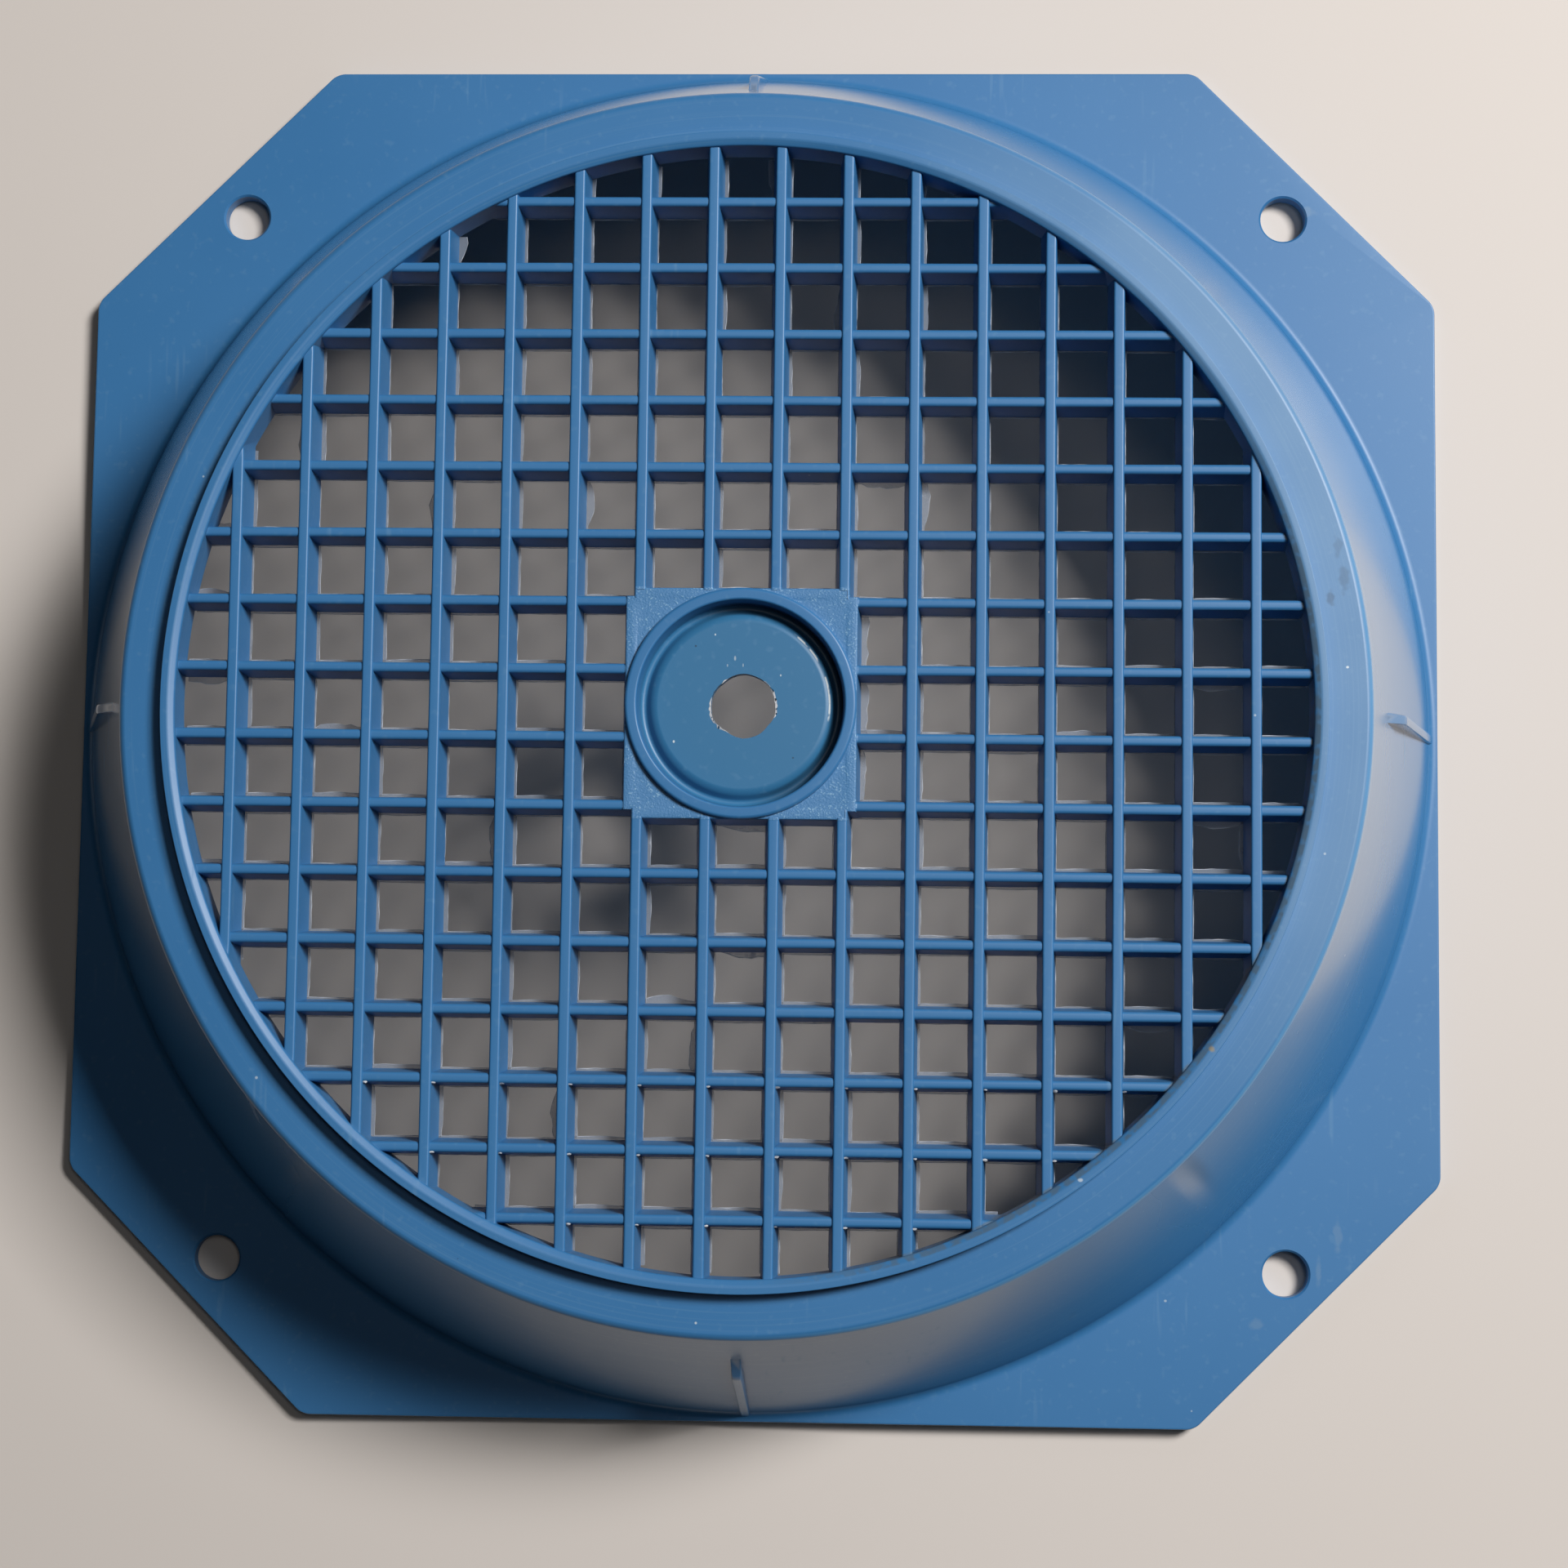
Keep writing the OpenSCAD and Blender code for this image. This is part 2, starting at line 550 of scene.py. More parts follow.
@dataclass(frozen=True)
class Flange:
    """The flat flange with cut corners and four fixing holes."""

    sizes: CoverSizes
    edge_round: float = 0.3
    hole_round: float = 0.3
    corner_steps: int = 6
    hole_steps: int = 64
    past: float = 1.0

    def plate(self) -> SceneObject:
        """Draw the outline, round it and raise it.

        Returns:
            The plate, open inside the dome.
        """
        s = self.sizes
        near = s.half_w - s.corner_cut
        bm = bmesh.new()
        outline = []
        for side in range(4):
            spin = Matrix.Rotation(side * math.pi / 2, 3, "Z")
            outline += [bm.verts.new(spin @ Vector((s.half_w, way * near, 0))) for way in (-1, 1)]
        bm.faces.new(outline)
        cut = s.corner_r * math.tan(math.pi / 8)
        round_off(bm, outline, cut, self.corner_steps, Rounded.CORNERS)
        raise_faces(bm, Vector((0, 0, s.flange_t)))
        rims = [e for e in bm.edges if abs(e.verts[0].co.z - e.verts[1].co.z) < MM]
        round_off(bm, rims, self.edge_round, EDGE_STEPS, Rounded.EDGES)
        plate = to_object("flange", bm)
        inside = to_object("inside", disc(s.base_r - s.join, -self.past, s.flange_t + self.past))
        return combine(plate, inside, Join.CUT)

    def hole_tool(self, x: float, y: float) -> SceneObject:
        """Make the block that cuts a fixing hole and rounds its two edges.

        Args:
            x: The hole's place along X.
            y: The hole's place along Y.

        Returns:
            The block.
        """
        s = self.sizes
        r = s.hole_d / 2
        edge = self.hole_round
        past = self.past
        heights = (-past, 0.0, edge, s.flange_t - edge, s.flange_t, s.flange_t + past)
        widths = (r + edge, r + edge, r, r, r + edge, r + edge)
        bm = disc(r, -past, s.flange_t + past, self.hole_steps)
        ends = [f for f in bm.faces if abs(f.normal.z) > LEVEL]
        bmesh.ops.delete(bm, geom=ends, context="FACES_ONLY")
        uprights = [e for e in bm.edges if abs(e.verts[0].co.z - e.verts[1].co.z) > past]
        bmesh.ops.subdivide_edges(bm, edges=uprights, cuts=len(heights) - 2, use_grid_fill=True)
        levels = sorted({round(v.co.z, 3) for v in bm.verts})
        for vert in bm.verts:
            level = levels.index(round(vert.co.z, 3))
            flat = vert.co.xy.normalized() * widths[level]
            vert.co = (flat.x, flat.y, heights[level])
        bmesh.ops.holes_fill(bm, edges=bm.edges[:], sides=0)
        bmesh.ops.translate(bm, verts=bm.verts[:], vec=(x, y, 0))
        return to_object("hole_tool", bm)

    def build(self) -> SceneObject:
        """Cut the fixing holes in the plate.

        Returns:
            The flange.
        """
        flange = self.plate()
        at = self.sizes.hole_at
        for x in (-at, at):
            for y in (-at, at):
                combine(flange, self.hole_tool(x, y), Join.CUT)
        return flange


@dataclass(frozen=True)
class Grille:
    """Two layers of drafted bars that cross inside the collar, each bar a little off straight."""

    sizes: CoverSizes
    long_round: float = 0.3
    cross_w: float = 1.4
    cross_round: float = 0.45
    wander: float = 0.1
    wander_length: float = 45.0
    wander_step: float = 5.3
    long_seed: float = 1.7
    cross_seed: float = 8.2
    step: float = 4.0

    def layer(self, width: float, top: float, rounding: float, seed: float) -> Mesh:
        """Make one layer of bars along Y.

        Args:
            width: Width of the bars' tops.
            top: Height of the bars' tops.
            rounding: Rounding of their upper edges.
            seed: Picks how the bars wander.

        Returns:
            The layer's mesh.
        """
        s = self.sizes
        half = width / 2
        under = s.under_half(width, top)
        length = 2 * (s.collar_in_r + s.join)
        bm = section_face((
            Corner(-under, s.grille_under),
            Corner(under, s.grille_under),
            Corner(half, top, rounding),
            Corner(-half, top, rounding),
        ))
        raise_faces(bm, Vector((0, length, 0)))
        runs = [e for e in bm.edges if abs(e.verts[0].co.y - e.verts[1].co.y) > length / 2]
        bmesh.ops.subdivide_edges(bm, edges=runs, cuts=int(length / self.step), use_grid_fill=True)
        bmesh.ops.translate(bm, verts=bm.verts[:], vec=(s.bar_at(0), -length / 2, 0))
        first = bm.verts[:] + bm.edges[:] + bm.faces[:]
        for index in range(1, s.bar_count):
            made = bmesh.ops.duplicate(bm, geom=first)
            verts = [item for item in made["geom"] if isinstance(item, MeshVert)]
            bmesh.ops.translate(bm, verts=verts, vec=(index * s.bar_pitch, 0, 0))
        for vert in bm.verts:
            index = round(vert.co.x / s.bar_pitch + s.bar_count / 2)
            place = Vector((index * self.wander_step, vert.co.y / self.wander_length, seed))
            vert.co.x += self.wander * noise.noise(place)
        return bm

    def build(self) -> SceneObject:
        """Join the two layers and trim them to the collar and the cup.

        Returns:
            The grille.
        """
        s = self.sizes
        long = self.layer(s.bar_top_w, s.grille_top, self.long_round, self.long_seed)
        bars = to_object("long_bars", long)
        cross = self.layer(self.cross_w, s.cross_top, self.cross_round, self.cross_seed)
        quarter = Matrix.Rotation(math.pi / 2, 3, "Z")
        bmesh.ops.rotate(cross, verts=cross.verts[:], cent=(0, 0, 0), matrix=quarter)
        combine(bars, to_object("cross_bars", cross), Join.UNION)
        round_edge = to_object("trim", disc(s.collar_in_r + s.join, 0.0, s.height))
        combine(bars, round_edge, Join.KEEP_INSIDE)
        return clear_cup(bars, s)


@dataclass(frozen=True)
class CentreCup:
    """The notched square plate, the round cup on it and the ragged hole in the cup's floor."""

    sizes: CoverSizes
    steps: int = 160
    plate_round: float = 0.3
    border_w: float = 1.0
    border_rise: float = 0.14
    border_slope: float = 0.5
    rim_round: float = 0.5
    mouth_round: float = 0.3
    groove_sink: float = 0.4
    groove_slope: Range = (-0.35, 0.6)
    groove_round: float = 0.25
    floor_round: float = 0.8
    floor_start_r: float = 3.0
    round_steps: int = 4
    floor_steps: int = 6
    flat_deg: float = 1.0
    # Angle in degrees and radius of each knife cut round the hole, counted from +X
    hole_cuts: tuple[Range, ...] = (
        (5, 5.0), (35, 4.95), (62, 4.68), (92, 4.55), (128, 4.22), (158, 4.45), (185, 4.48),
        (207, 4.66), (240, 4.45), (272, 5.0), (305, 5.12), (322, 5.0), (343, 5.25),
    )
    hole_steps: int = 120
    hole_rough: float = 0.06
    hole_grain: float = 0.35
    hole_seed: float = 3.1
    hole_past: float = 1.0

    def hole_radius(self, angle: float) -> float:
        """Radius of the ragged hole.

        Args:
            angle: Angle from +X in degrees.

        Returns:
            The radius, straight between the knife cuts and a little rough.
        """
        cuts = self.hole_cuts
        for index, (start, r0) in enumerate(cuts):
            end, r1 = cuts[(index + 1) % len(cuts)]
            span = (end - start) % 360
            along = (angle - start) % 360
            if along < span:
                rough = noise.noise(Vector((angle * self.hole_grain, self.hole_seed, 0.0)))
                return r0 + (r1 - r0) * along / span + rough * self.hole_rough
        return cuts[0][1]

    def slab(self, half_x: float, half_y: float) -> SceneObject:
        """Make a drafted block with rounded upper edges.

        Args:
            half_x: Half its width along X, at the top.
            half_y: Half its width along Y, at the top.

        Returns:
            The block.
        """
        s = self.sizes
        bm = bmesh.new()
        bmesh.ops.create_cube(bm, size=2.0)
        for vert in bm.verts:
            top = vert.co.z > 0
            x = half_x if top else s.under_half(2 * half_x, s.plate_top)
            y = half_y if top else s.under_half(2 * half_y, s.plate_top)
            vert.co = (math.copysign(x, vert.co.x), math.copysign(y, vert.co.y), vert.co.z)
            vert.co.z = s.plate_top if top else s.grille_under
        upper = [e for e in bm.edges if all(v.co.z > s.grille_under + MM for v in e.verts)]
        round_off(bm, upper, self.plate_round, EDGE_STEPS, Rounded.EDGES)
        return to_object("slab", bm)

    def plate(self) -> SceneObject:
        """Join two crossing blocks into the notched plate.

        Returns:
            The plate, open inside the rim.
        """
        s = self.sizes
        plate = self.slab(s.plate_reach, s.plate_core)
        combine(plate, self.slab(s.plate_core, s.plate_reach), Join.UNION)
        bm = bmesh.new()
        bm.from_mesh(plate.data)
        flat = math.radians(self.flat_deg)
        bmesh.ops.dissolve_limit(bm, angle_limit=flat, verts=bm.verts[:], edges=bm.edges[:])
        level = [f for f in bm.faces if f.normal.z > LEVEL]
        tops = [f for f in level if f.calc_center_median().z > s.plate_top - MM]
        for width, rise in ((self.border_w, 0.0), (self.border_slope, -self.border_rise)):
            bmesh.ops.inset_region(bm, faces=tops, thickness=width, depth=rise, use_even_offset=True)
        bm.to_mesh(plate.data)
        bm.free()
        return clear_cup(plate, s)

    def plate_room(self) -> SceneObject:
        """Make the block that clears the bars off the top of the plate.

        Returns:
            The block.
        """
        s = self.sizes
        room = None
        for half_x, half_y in ((s.plate_reach, s.plate_core), (s.plate_core, s.plate_reach)):
            bm = bmesh.new()
            low = s.plate_top - self.border_rise - s.join / 2
            place = Matrix.Translation((0, 0, (low + s.height) / 2 + s.join))
            sizes = (half_x - self.plate_round, half_y - self.plate_round, (s.height - low) / 2 + s.join)
            bmesh.ops.create_cube(bm, size=2.0, matrix=place @ Matrix.Diagonal((*sizes, 1.0)))
            block = to_object("plate_room", bm)
            room = combine(room, block, Join.UNION) if room else block
        return room

    def cup(self) -> SceneObject:
        """Spin the cup's section.

        Returns:
            The cup, with a small round hole that the ragged one replaces.
        """
        s = self.sizes
        slope_in, slope_out = self.groove_slope
        bottom = s.groove_floor - self.groove_sink
        section = (
            Corner(self.floor_start_r, s.cup_under),
            Corner(s.rim_r - s.cup_wall_t, s.cup_under),
            Corner(s.rim_r - s.cup_wall_t, s.grille_under),
            Corner(s.rim_r, s.grille_under),
            Corner(s.rim_r, s.rim_top, self.rim_round, self.round_steps),
            Corner(s.mouth_r, s.rim_top, self.mouth_round, self.round_steps),
            Corner(s.floor_r + s.groove_w, bottom, s.groove_fillet, self.round_steps),
            Corner(s.floor_r + slope_out, bottom, self.groove_round, self.round_steps),
            Corner(s.floor_r + slope_in, s.cup_floor, self.floor_round, self.floor_steps),
            Corner(self.floor_start_r, s.cup_floor),
        )
        return to_object("cup", spun(section, self.steps))

    def hole_tool(self) -> SceneObject:
        """Make the ragged block that cuts the hole.

        Returns:
            The block.
        """
        s = self.sizes
        bm = bmesh.new()
        bmesh.ops.create_circle(bm, cap_ends=True, radius=1.0, segments=self.hole_steps)
        for vert in bm.verts:
            angle = math.degrees(math.atan2(vert.co.y, vert.co.x)) % 360
            radius = self.hole_radius(angle)
            vert.co = (vert.co.x * radius, vert.co.y * radius, s.cup_under - self.hole_past)
        raise_faces(bm, Vector((0, 0, s.cup_floor_t + 2 * self.hole_past)))
        return to_object("hole_tool", bm)

    def build(self) -> SceneObject:
        """Join the plate and the cup and cut the hole.

        Returns:
            The centre of the grille.
        """
        centre = combine(self.plate(), self.cup(), Join.UNION)
        return combine(centre, self.hole_tool(), Join.CUT)


@dataclass(frozen=True)
class Moulding:
    """The whole cover as one moulded piece."""

    sizes: CoverSizes
    crease_deg: float = 34.0

    def build(self) -> SceneObject:
        """Join dome, flange, grille and cup into one mesh that stands for the solid.

        Returns:
            The finished piece.
        """
        s = self.sizes
        piece = combine(Dome(s).build(), Flange(s).build(), Join.UNION)
        centre = CentreCup(s)
        bars = combine(Grille(s).build(), centre.plate_room(), Join.CUT)
        combine(piece, bars, Join.UNION)
        combine(piece, centre.build(), Join.UNION)
        piece.name = "fan_cover_moulding"
        piece.data.name = piece.name
        to_metres(piece, self.crease_deg)
        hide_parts(NODE)
        return piece


class CellSide(Enum):
    """Sides of a grille cell: step along the side, step into the cell and a film's usual reach."""

    LEFT = ((0, 1), (1, 0), 0.36)
    RIGHT = ((0, 1), (-1, 0), 0.12)
    LOWER = ((1, 0), (0, 1), 0.3)
    UPPER = ((1, 0), (0, -1), 0.18)

    @property
    def run(self) -> tuple[int, int]:
        """Step along the side."""
        return self.value[0]

    @property
    def inward(self) -> tuple[int, int]:
        """Step into the cell."""
        return self.value[1]

    @property
    def usual_reach(self) -> float:
        """How far a film on this side usually stands into the cell."""
        return self.value[2]


@dataclass(frozen=True)
class Cell:
    """One open cell of the grille at its underside."""

    low: Vector
    high: Vector
    column: int
    row: int

    def side_point(self, side: CellSide, along: float, inward: float) -> Vector:
        """Find a point near one side.

        Args:
            side: The side.
            along: Share of the side's length, from 0 to 1.
            inward: Distance into the cell.

        Returns:
            The point in the XY plane.
        """
        (run_x, run_y), (in_x, in_y) = side.run, side.inward
        start_x = self.high.x if in_x < 0 else self.low.x
        start_y = self.high.y if in_y < 0 else self.low.y
        size = self.high - self.low
        x = start_x + run_x * along * size.x + in_x * inward
        y = start_y + run_y * along * size.y + in_y * inward
        return Vector((x, y))


@dataclass(frozen=True)
class MouldFlash:
    """Thin ragged films that the mould left under the cells, and small nubs at crossings."""

    sizes: CoverSizes
    thickness: float = 0.1
    sunk: float = 0.3
    points: int = 9
    lip: float = 0.13
    rough_length: float = 1.6
    bow: float = 0.28
    least: float = -0.1
    # Steps and start of the walk through the noise, by column, row and side
    key_step: Triple = (1.37, 1.73, 2.9)
    key_start: Triple = (0.31, 0.77, 0.0)
    rough_step: Range = (3.7, 5.1)
    rough_share: float = 0.4
    level_swing: float = 1.5
    peak_key: float = 2.1
    peak_swing: float = 0.4
    hump_half: float = 0.62
    flake_key: float = 3.3
    flake_reach: float = 0.75
    flake_level: float = 0.52
    flake_rough: float = 0.5
    plate_reach: float = 0.85
    plate_level: float = 0.55
    plate_rough: float = 0.6
    thin_past: float = 30.0
    thin_share: float = 0.3
    nub_rows: int = 3
    nub_r: float = 0.3
    nub_key: Triple = (2.3, 4.1, 0.4)
    nub_swing: float = 0.5
    nub_shape: Triple = (1.3, 0.6, 0.7)
    nub_rough: float = 0.3
    nub_grain: float = 3.0
    nub_aside: float = 0.3
    nub_drop: float = 0.3
    nub_seed: int = 7
    crease_deg: float = 40.0

    def cells(self) -> Iterator[Cell]:
        """Walk over the cells that are open.

        Returns:
            The cells, from the lowest row up.
        """
        s = self.sizes
        long_half = s.under_half(s.bar_top_w, s.grille_top)
        cross_half = s.under_half(s.bar_top_w, s.cross_top)
        edge = s.under_half(2 * s.plate_reach, s.plate_top)
        for row in range(-1, s.bar_count):
            for column in range(-1, s.bar_count):
                low = Vector((s.bar_at(column) + long_half, s.bar_at(row) + cross_half))
                high = Vector((s.bar_at(column + 1) - long_half, s.bar_at(row + 1) - cross_half))
                middle = (low + high) / 2
                if max(abs(middle.x), abs(middle.y)) < s.plate_half:
                    continue
                if abs(middle.y) < s.plate_half:
                    low.x = edge if 0 < low.x < edge else low.x
                    high.x = -edge if -edge < high.x < 0 else high.x
                if abs(middle.x) < s.plate_half:
                    low.y = edge if 0 < low.y < edge else low.y
                    high.y = -edge if -edge < high.y < 0 else high.y
                yield Cell(low, high, column, row)

    def reach(self, cell: Cell, side: CellSide, along: float) -> float:
        """Work out how far the film stands into the cell.

        Args:
            cell: The cell.
            side: The side that the film hangs on.
            along: Share of the side's length, from 0 to 1.

        Returns:
            The film's width there.
        """
        s = self.sizes
        tag = list(CellSide).index(side)
        spot = (cell.column, cell.row, tag)
        key = Vector([n * step + first for n, step, first in zip(spot, self.key_step, self.key_start)])
        level = 1 + self.level_swing * noise.noise(key)
        length = (cell.high - cell.low).length / math.sqrt(2)
        column_step, row_step = self.rough_step
        ragged = noise.noise(Vector((
            along * length / self.rough_length,
            cell.column * column_step + tag,
            cell.row * row_step,
        )))
        peak = 0.5 + self.peak_swing * noise.noise(key * self.peak_key)
        hump = max(0.0, 1 - ((along - peak) / self.hump_half) ** 2)
        width = side.usual_reach * (level * (1 - self.bow + self.bow * hump) + self.rough_share * ragged)
        if noise.noise(key * self.flake_key) > self.flake_level:
            width += self.flake_reach * (hump ** 2 + self.flake_rough * ragged)
        if side is CellSide.LEFT and cell.low.x > self.thin_past:
            width *= self.thin_share
        level_with_plate = abs(cell.low.y + cell.high.y) < 2 * s.plate_half
        if side is CellSide.LEFT and level_with_plate and 0 < cell.low.x < 2 * s.bar_pitch:
            width += self.plate_reach * (self.plate_level + self.plate_rough * ragged)
        return max(self.least, width)

    def strip(self, bm: Mesh, cell: Cell, side: CellSide) -> None:
        """Add the film along one side of a cell, as far as it lies inside the collar.

        Args:
            bm: The mesh that takes the film, with a layer that marks the film's free edge.
            cell: The cell.
            side: The side.
        """
        s = self.sizes
        rim = bm.verts.layers.float[RIM]
        limit = s.collar_in_r + s.join / 2
        shares = [index / (self.points - 1) for index in range(self.points)]
        inside = [a for a in shares if cell.side_point(side, a, -self.sunk).length < limit]
        if len(inside) < 2:
            return
        widths = [self.reach(cell, side, a) for a in inside]
        rows = []
        for past, mark in ((None, 0.0), (self.lip, 0.0), (0.0, 1.0)):
            line = []
            for share, width in zip(inside, widths):
                inward = -self.sunk if past is None else max(width - past, -self.sunk / 2)
                vert = bm.verts.new((*cell.side_point(side, share, inward), s.grille_under))
                vert[rim] = mark
                line.append(vert)
            rows.append(line)
        for near, far in zip(rows, rows[1:]):
            bridge(bm, near, far)

    def films(self) -> Mesh:
        """Make the films of every cell.

        Returns:
            The films' mesh, in millimetres.
        """
        bm = bmesh.new()
        bm.verts.layers.float.new(RIM)
        for cell in self.cells():
            for side in CellSide:
                self.strip(bm, cell, side)
        raise_faces(bm, Vector((0, 0, self.thickness)))
        return bm

    def nubs(self, bm: Mesh) -> None:
        """Add the small nubs beside the crossings of the lowest rows.

        Args:
            bm: The mesh that takes them.
        """
        s = self.sizes
        rim = bm.verts.layers.float[RIM]
        half = s.bar_top_w / 2
        column_step, row_step, seed = self.nub_key
        noise.seed_set(self.nub_seed)
        for row in range(self.nub_rows):
            for column in range(s.bar_count):
                place = Vector((
                    s.bar_at(column) + half + self.nub_aside,
                    s.bar_at(row) - half,
                    s.cross_top - self.nub_drop,
                ))
                if place.xy.length > s.collar_in_r - s.collar_bevel:
                    continue
                swing = noise.noise(Vector((column * column_step, row * row_step, seed)))
                size = self.nub_r * (1 + self.nub_swing * swing)
                spread = Matrix.Diagonal((*(share * size for share in self.nub_shape), 1.0))
                shape = Matrix.Translation(place) @ spread
                made = bmesh.ops.create_icosphere(bm, subdivisions=1, radius=1.0, matrix=shape)
                for vert in made["verts"]:
                    vert.co += self.nub_rough * size * noise.noise_vector(vert.co * self.nub_grain)
                    vert[rim] = 1.0

    def build(self) -> SceneObject:
        """Finish the films and the nubs as one piece.

        Returns:
            The piece.
        """
        bm = self.films()
        self.nubs(bm)
        piece = to_object("mould_flash", bm)
        to_metres(piece, self.crease_deg)
        return piece


@dataclass(frozen=True)
class HoleBurr:
    """The pale, ragged burr that the knife left on the edge of the hole in the cup."""

    cup: CentreCup
    # Angles in degrees between which a burr stands, counted from +X, and its greatest width
    runs: tuple[Triple, ...] = (
        (166.0, 248.0, 0.46),
        (338.0, 408.0, 0.3),
        (118.0, 134.0, 0.2),
    )
    step: float = 3.0
    # Steps of the noise by angle and by width, and its seed
    ragged_key: Triple = (0.13, 9.0, 2.0)
    ragged_level: float = 0.6
    ragged_swing: float = 0.8
    overhang: float = 0.07
    least: float = 0.15
    rise: float = 0.1
    rise_grain: float = 2.7
    sunk: float = 0.08
    crease_deg: float = 50.0

    def run(self, bm: Mesh, start: float, end: float, width: float) -> None:
        """Add one stretch of burr.

        Args:
            bm: The mesh that takes it.
            start: Its first angle in degrees.
            end: Its last angle in degrees.
            width: Its greatest width.
        """
        s = self.cup.sizes
        rim = bm.verts.layers.float[RIM]
        count = round((end - start) / self.step)
        angle_step, width_step, seed = self.ragged_key
        rows = ([], [])
        for index in range(count + 1):
            angle = start + self.step * index
            way = Vector((math.cos(math.radians(angle)), math.sin(math.radians(angle)), 0))
            swell = math.sin(math.pi * index / count) ** 0.5
            swing = noise.noise(Vector((angle * angle_step, width * width_step, seed)))
            ragged = self.ragged_level + self.ragged_swing * swing
            edge = self.cup.hole_radius(angle % 360)
            inner = edge - self.overhang * ragged
            outer = edge + width * swell * max(self.least, ragged)
            for line, radius in zip(rows, (inner, outer)):
                vert = bm.verts.new(way * radius + Vector((0, 0, s.cup_floor - self.sunk)))
                vert[rim] = 1.0
                line.append(vert)
        bridge(bm, *rows)

    def build(self) -> SceneObject:
        """Raise the stretches into thin slivers.

        Returns:
            The piece.
        """
        bm = bmesh.new()
        bm.verts.layers.float.new(RIM)
        for start, end, width in self.runs:
            self.run(bm, start, end, width)
        for vert in raise_faces(bm, Vector((0, 0, self.sunk))):
            vert.co.z += self.rise * max(0.0, noise.noise(vert.co * self.rise_grain))
        piece = to_object("hole_burr", bm)
        to_metres(piece, self.crease_deg)
        return piece


class MixSocket(Enum):
    """Places of the sockets that a Mix node uses for colours."""

    FACTOR = 0
    FIRST = 6
    SECOND = 7
    RESULT = 2


class Nodes:
    """Short calls that add and link the nodes of one shader tree."""

    def __init__(self, tree: bpy.types.NodeTree) -> None:
        """Keep the tree that the calls work on."""
        self.tree = tree

    def put(self, target: Socket, value: object) -> None:
        """Link a socket to an input, or set the input's own value.

        Args:
            target: The input.
            value: A socket or a value.
        """
        if isinstance(value, Socket):
            self.tree.links.new(value, target)
        else:
            target.default_value = value

    def fill(self, node: Node, **inputs: object) -> Node:
        """Set or link inputs of a node.

        Args:
            node: The node.
            inputs: Inputs by name, with underscores for spaces; each is a socket or a value.

        Returns:
            The same node.
        """
        for name, value in inputs.items():
            self.put(node.inputs[name.replace("_", " ")], value)
        return node

    def add(self, kind: str, **inputs: object) -> Node:
        """Add a node by its type, without the ShaderNode prefix, and fill its inputs."""
        return self.fill(self.tree.nodes.new("ShaderNode" + kind), **inputs)

    def operate(self, kind: str, operation: str, values: Sequence[object]) -> Node:
        """Add a node that works out one result.

        Args:
            kind: The node's type.
            operation: The operation's name.
            values: Its inputs in order, sockets or values.

        Returns:
            The node.
        """
        node = self.add(kind)
        node.operation = operation
        for target, value in zip(node.inputs, values):
            self.put(target, value)
        return node

    def math(self, operation: str, *values: object) -> Socket:
        """Work out a number from others."""
        return self.operate("Math", operation, values).outputs[0]

    def vector(self, operation: str, *values: object) -> Socket:
        """Work out a vector, or the length of one, from others."""
        node = self.operate("VectorMath", operation, values)
        return node.outputs["Value"] if operation == "LENGTH" else node.outputs[0]

    def noise(self, place: Socket, scale: float, detail: float = 1.0, roughness: float = 0.5) -> Socket:
        """Add a noise texture and give its value."""
        node = self.add("TexNoise", Vector=place, Scale=scale, Detail=detail, Roughness=roughness)
        return node.outputs["Fac"]

    def bump(self, height: Socket, strength: float, distance: float) -> Socket:
        """Turn heights into a normal."""
        return self.add("Bump", Strength=strength, Distance=distance, Height=height).outputs["Normal"]

    def blend(self, factor: object, first: object, second: object) -> Socket:
        """Mix two colours.

        Args:
            factor: Share of the second colour.
            first: The first colour.
            second: The second colour.

        Returns:
            The mixed colour.
        """
        node = self.add("Mix")
        node.data_type = "RGBA"
        self.put(node.inputs[MixSocket.FACTOR.value], factor)
        for place, colour in ((MixSocket.FIRST, first), (MixSocket.SECOND, second)):
            self.put(node.inputs[place.value], colour if isinstance(colour, Socket) else (*colour, 1.0))
        return node.outputs[MixSocket.RESULT.value]

    def ramp(
        self, value: Socket, low: object, high: object, start: object = 0.0, end: object = 1.0
    ) -> Socket:
        """Turn a value into a smooth step.

        Args:
            value: The value.
            low: Where the step begins.
            high: Where the step ends.
            start: Result below the step.
            end: Result above the step.

        Returns:
            The result.
        """
        node = self.add("MapRange")
        node.interpolation_type = "SMOOTHSTEP"
        self.fill(node, Value=value, From_Min=low, From_Max=high, To_Min=start, To_Max=end)
        return node.outputs["Result"]


def new_material(name: str) -> tuple[Material, Nodes, Node]:
    """Make a material with its shader.

    Args:
        name: The material's name.

    Returns:
        The material, calls that add nodes to it, and its shader node.
    """
    material = bpy.data.materials.new(name)
    material.use_nodes = True
    tree = material.node_tree
    return material, Nodes(tree), tree.nodes["Principled BSDF"]


class PlugKind(Enum):
    """Kinds of socket on the outside of a shader group."""

    NUMBER = "NodeSocketFloat"
    VECTOR = "NodeSocketVector"


@dataclass(frozen=True)
class Plug:
    """One socket on the outside of a shader group."""

    name: str
    kind: PlugKind = PlugKind.NUMBER


PLACE = Plug("Place", PlugKind.VECTOR)


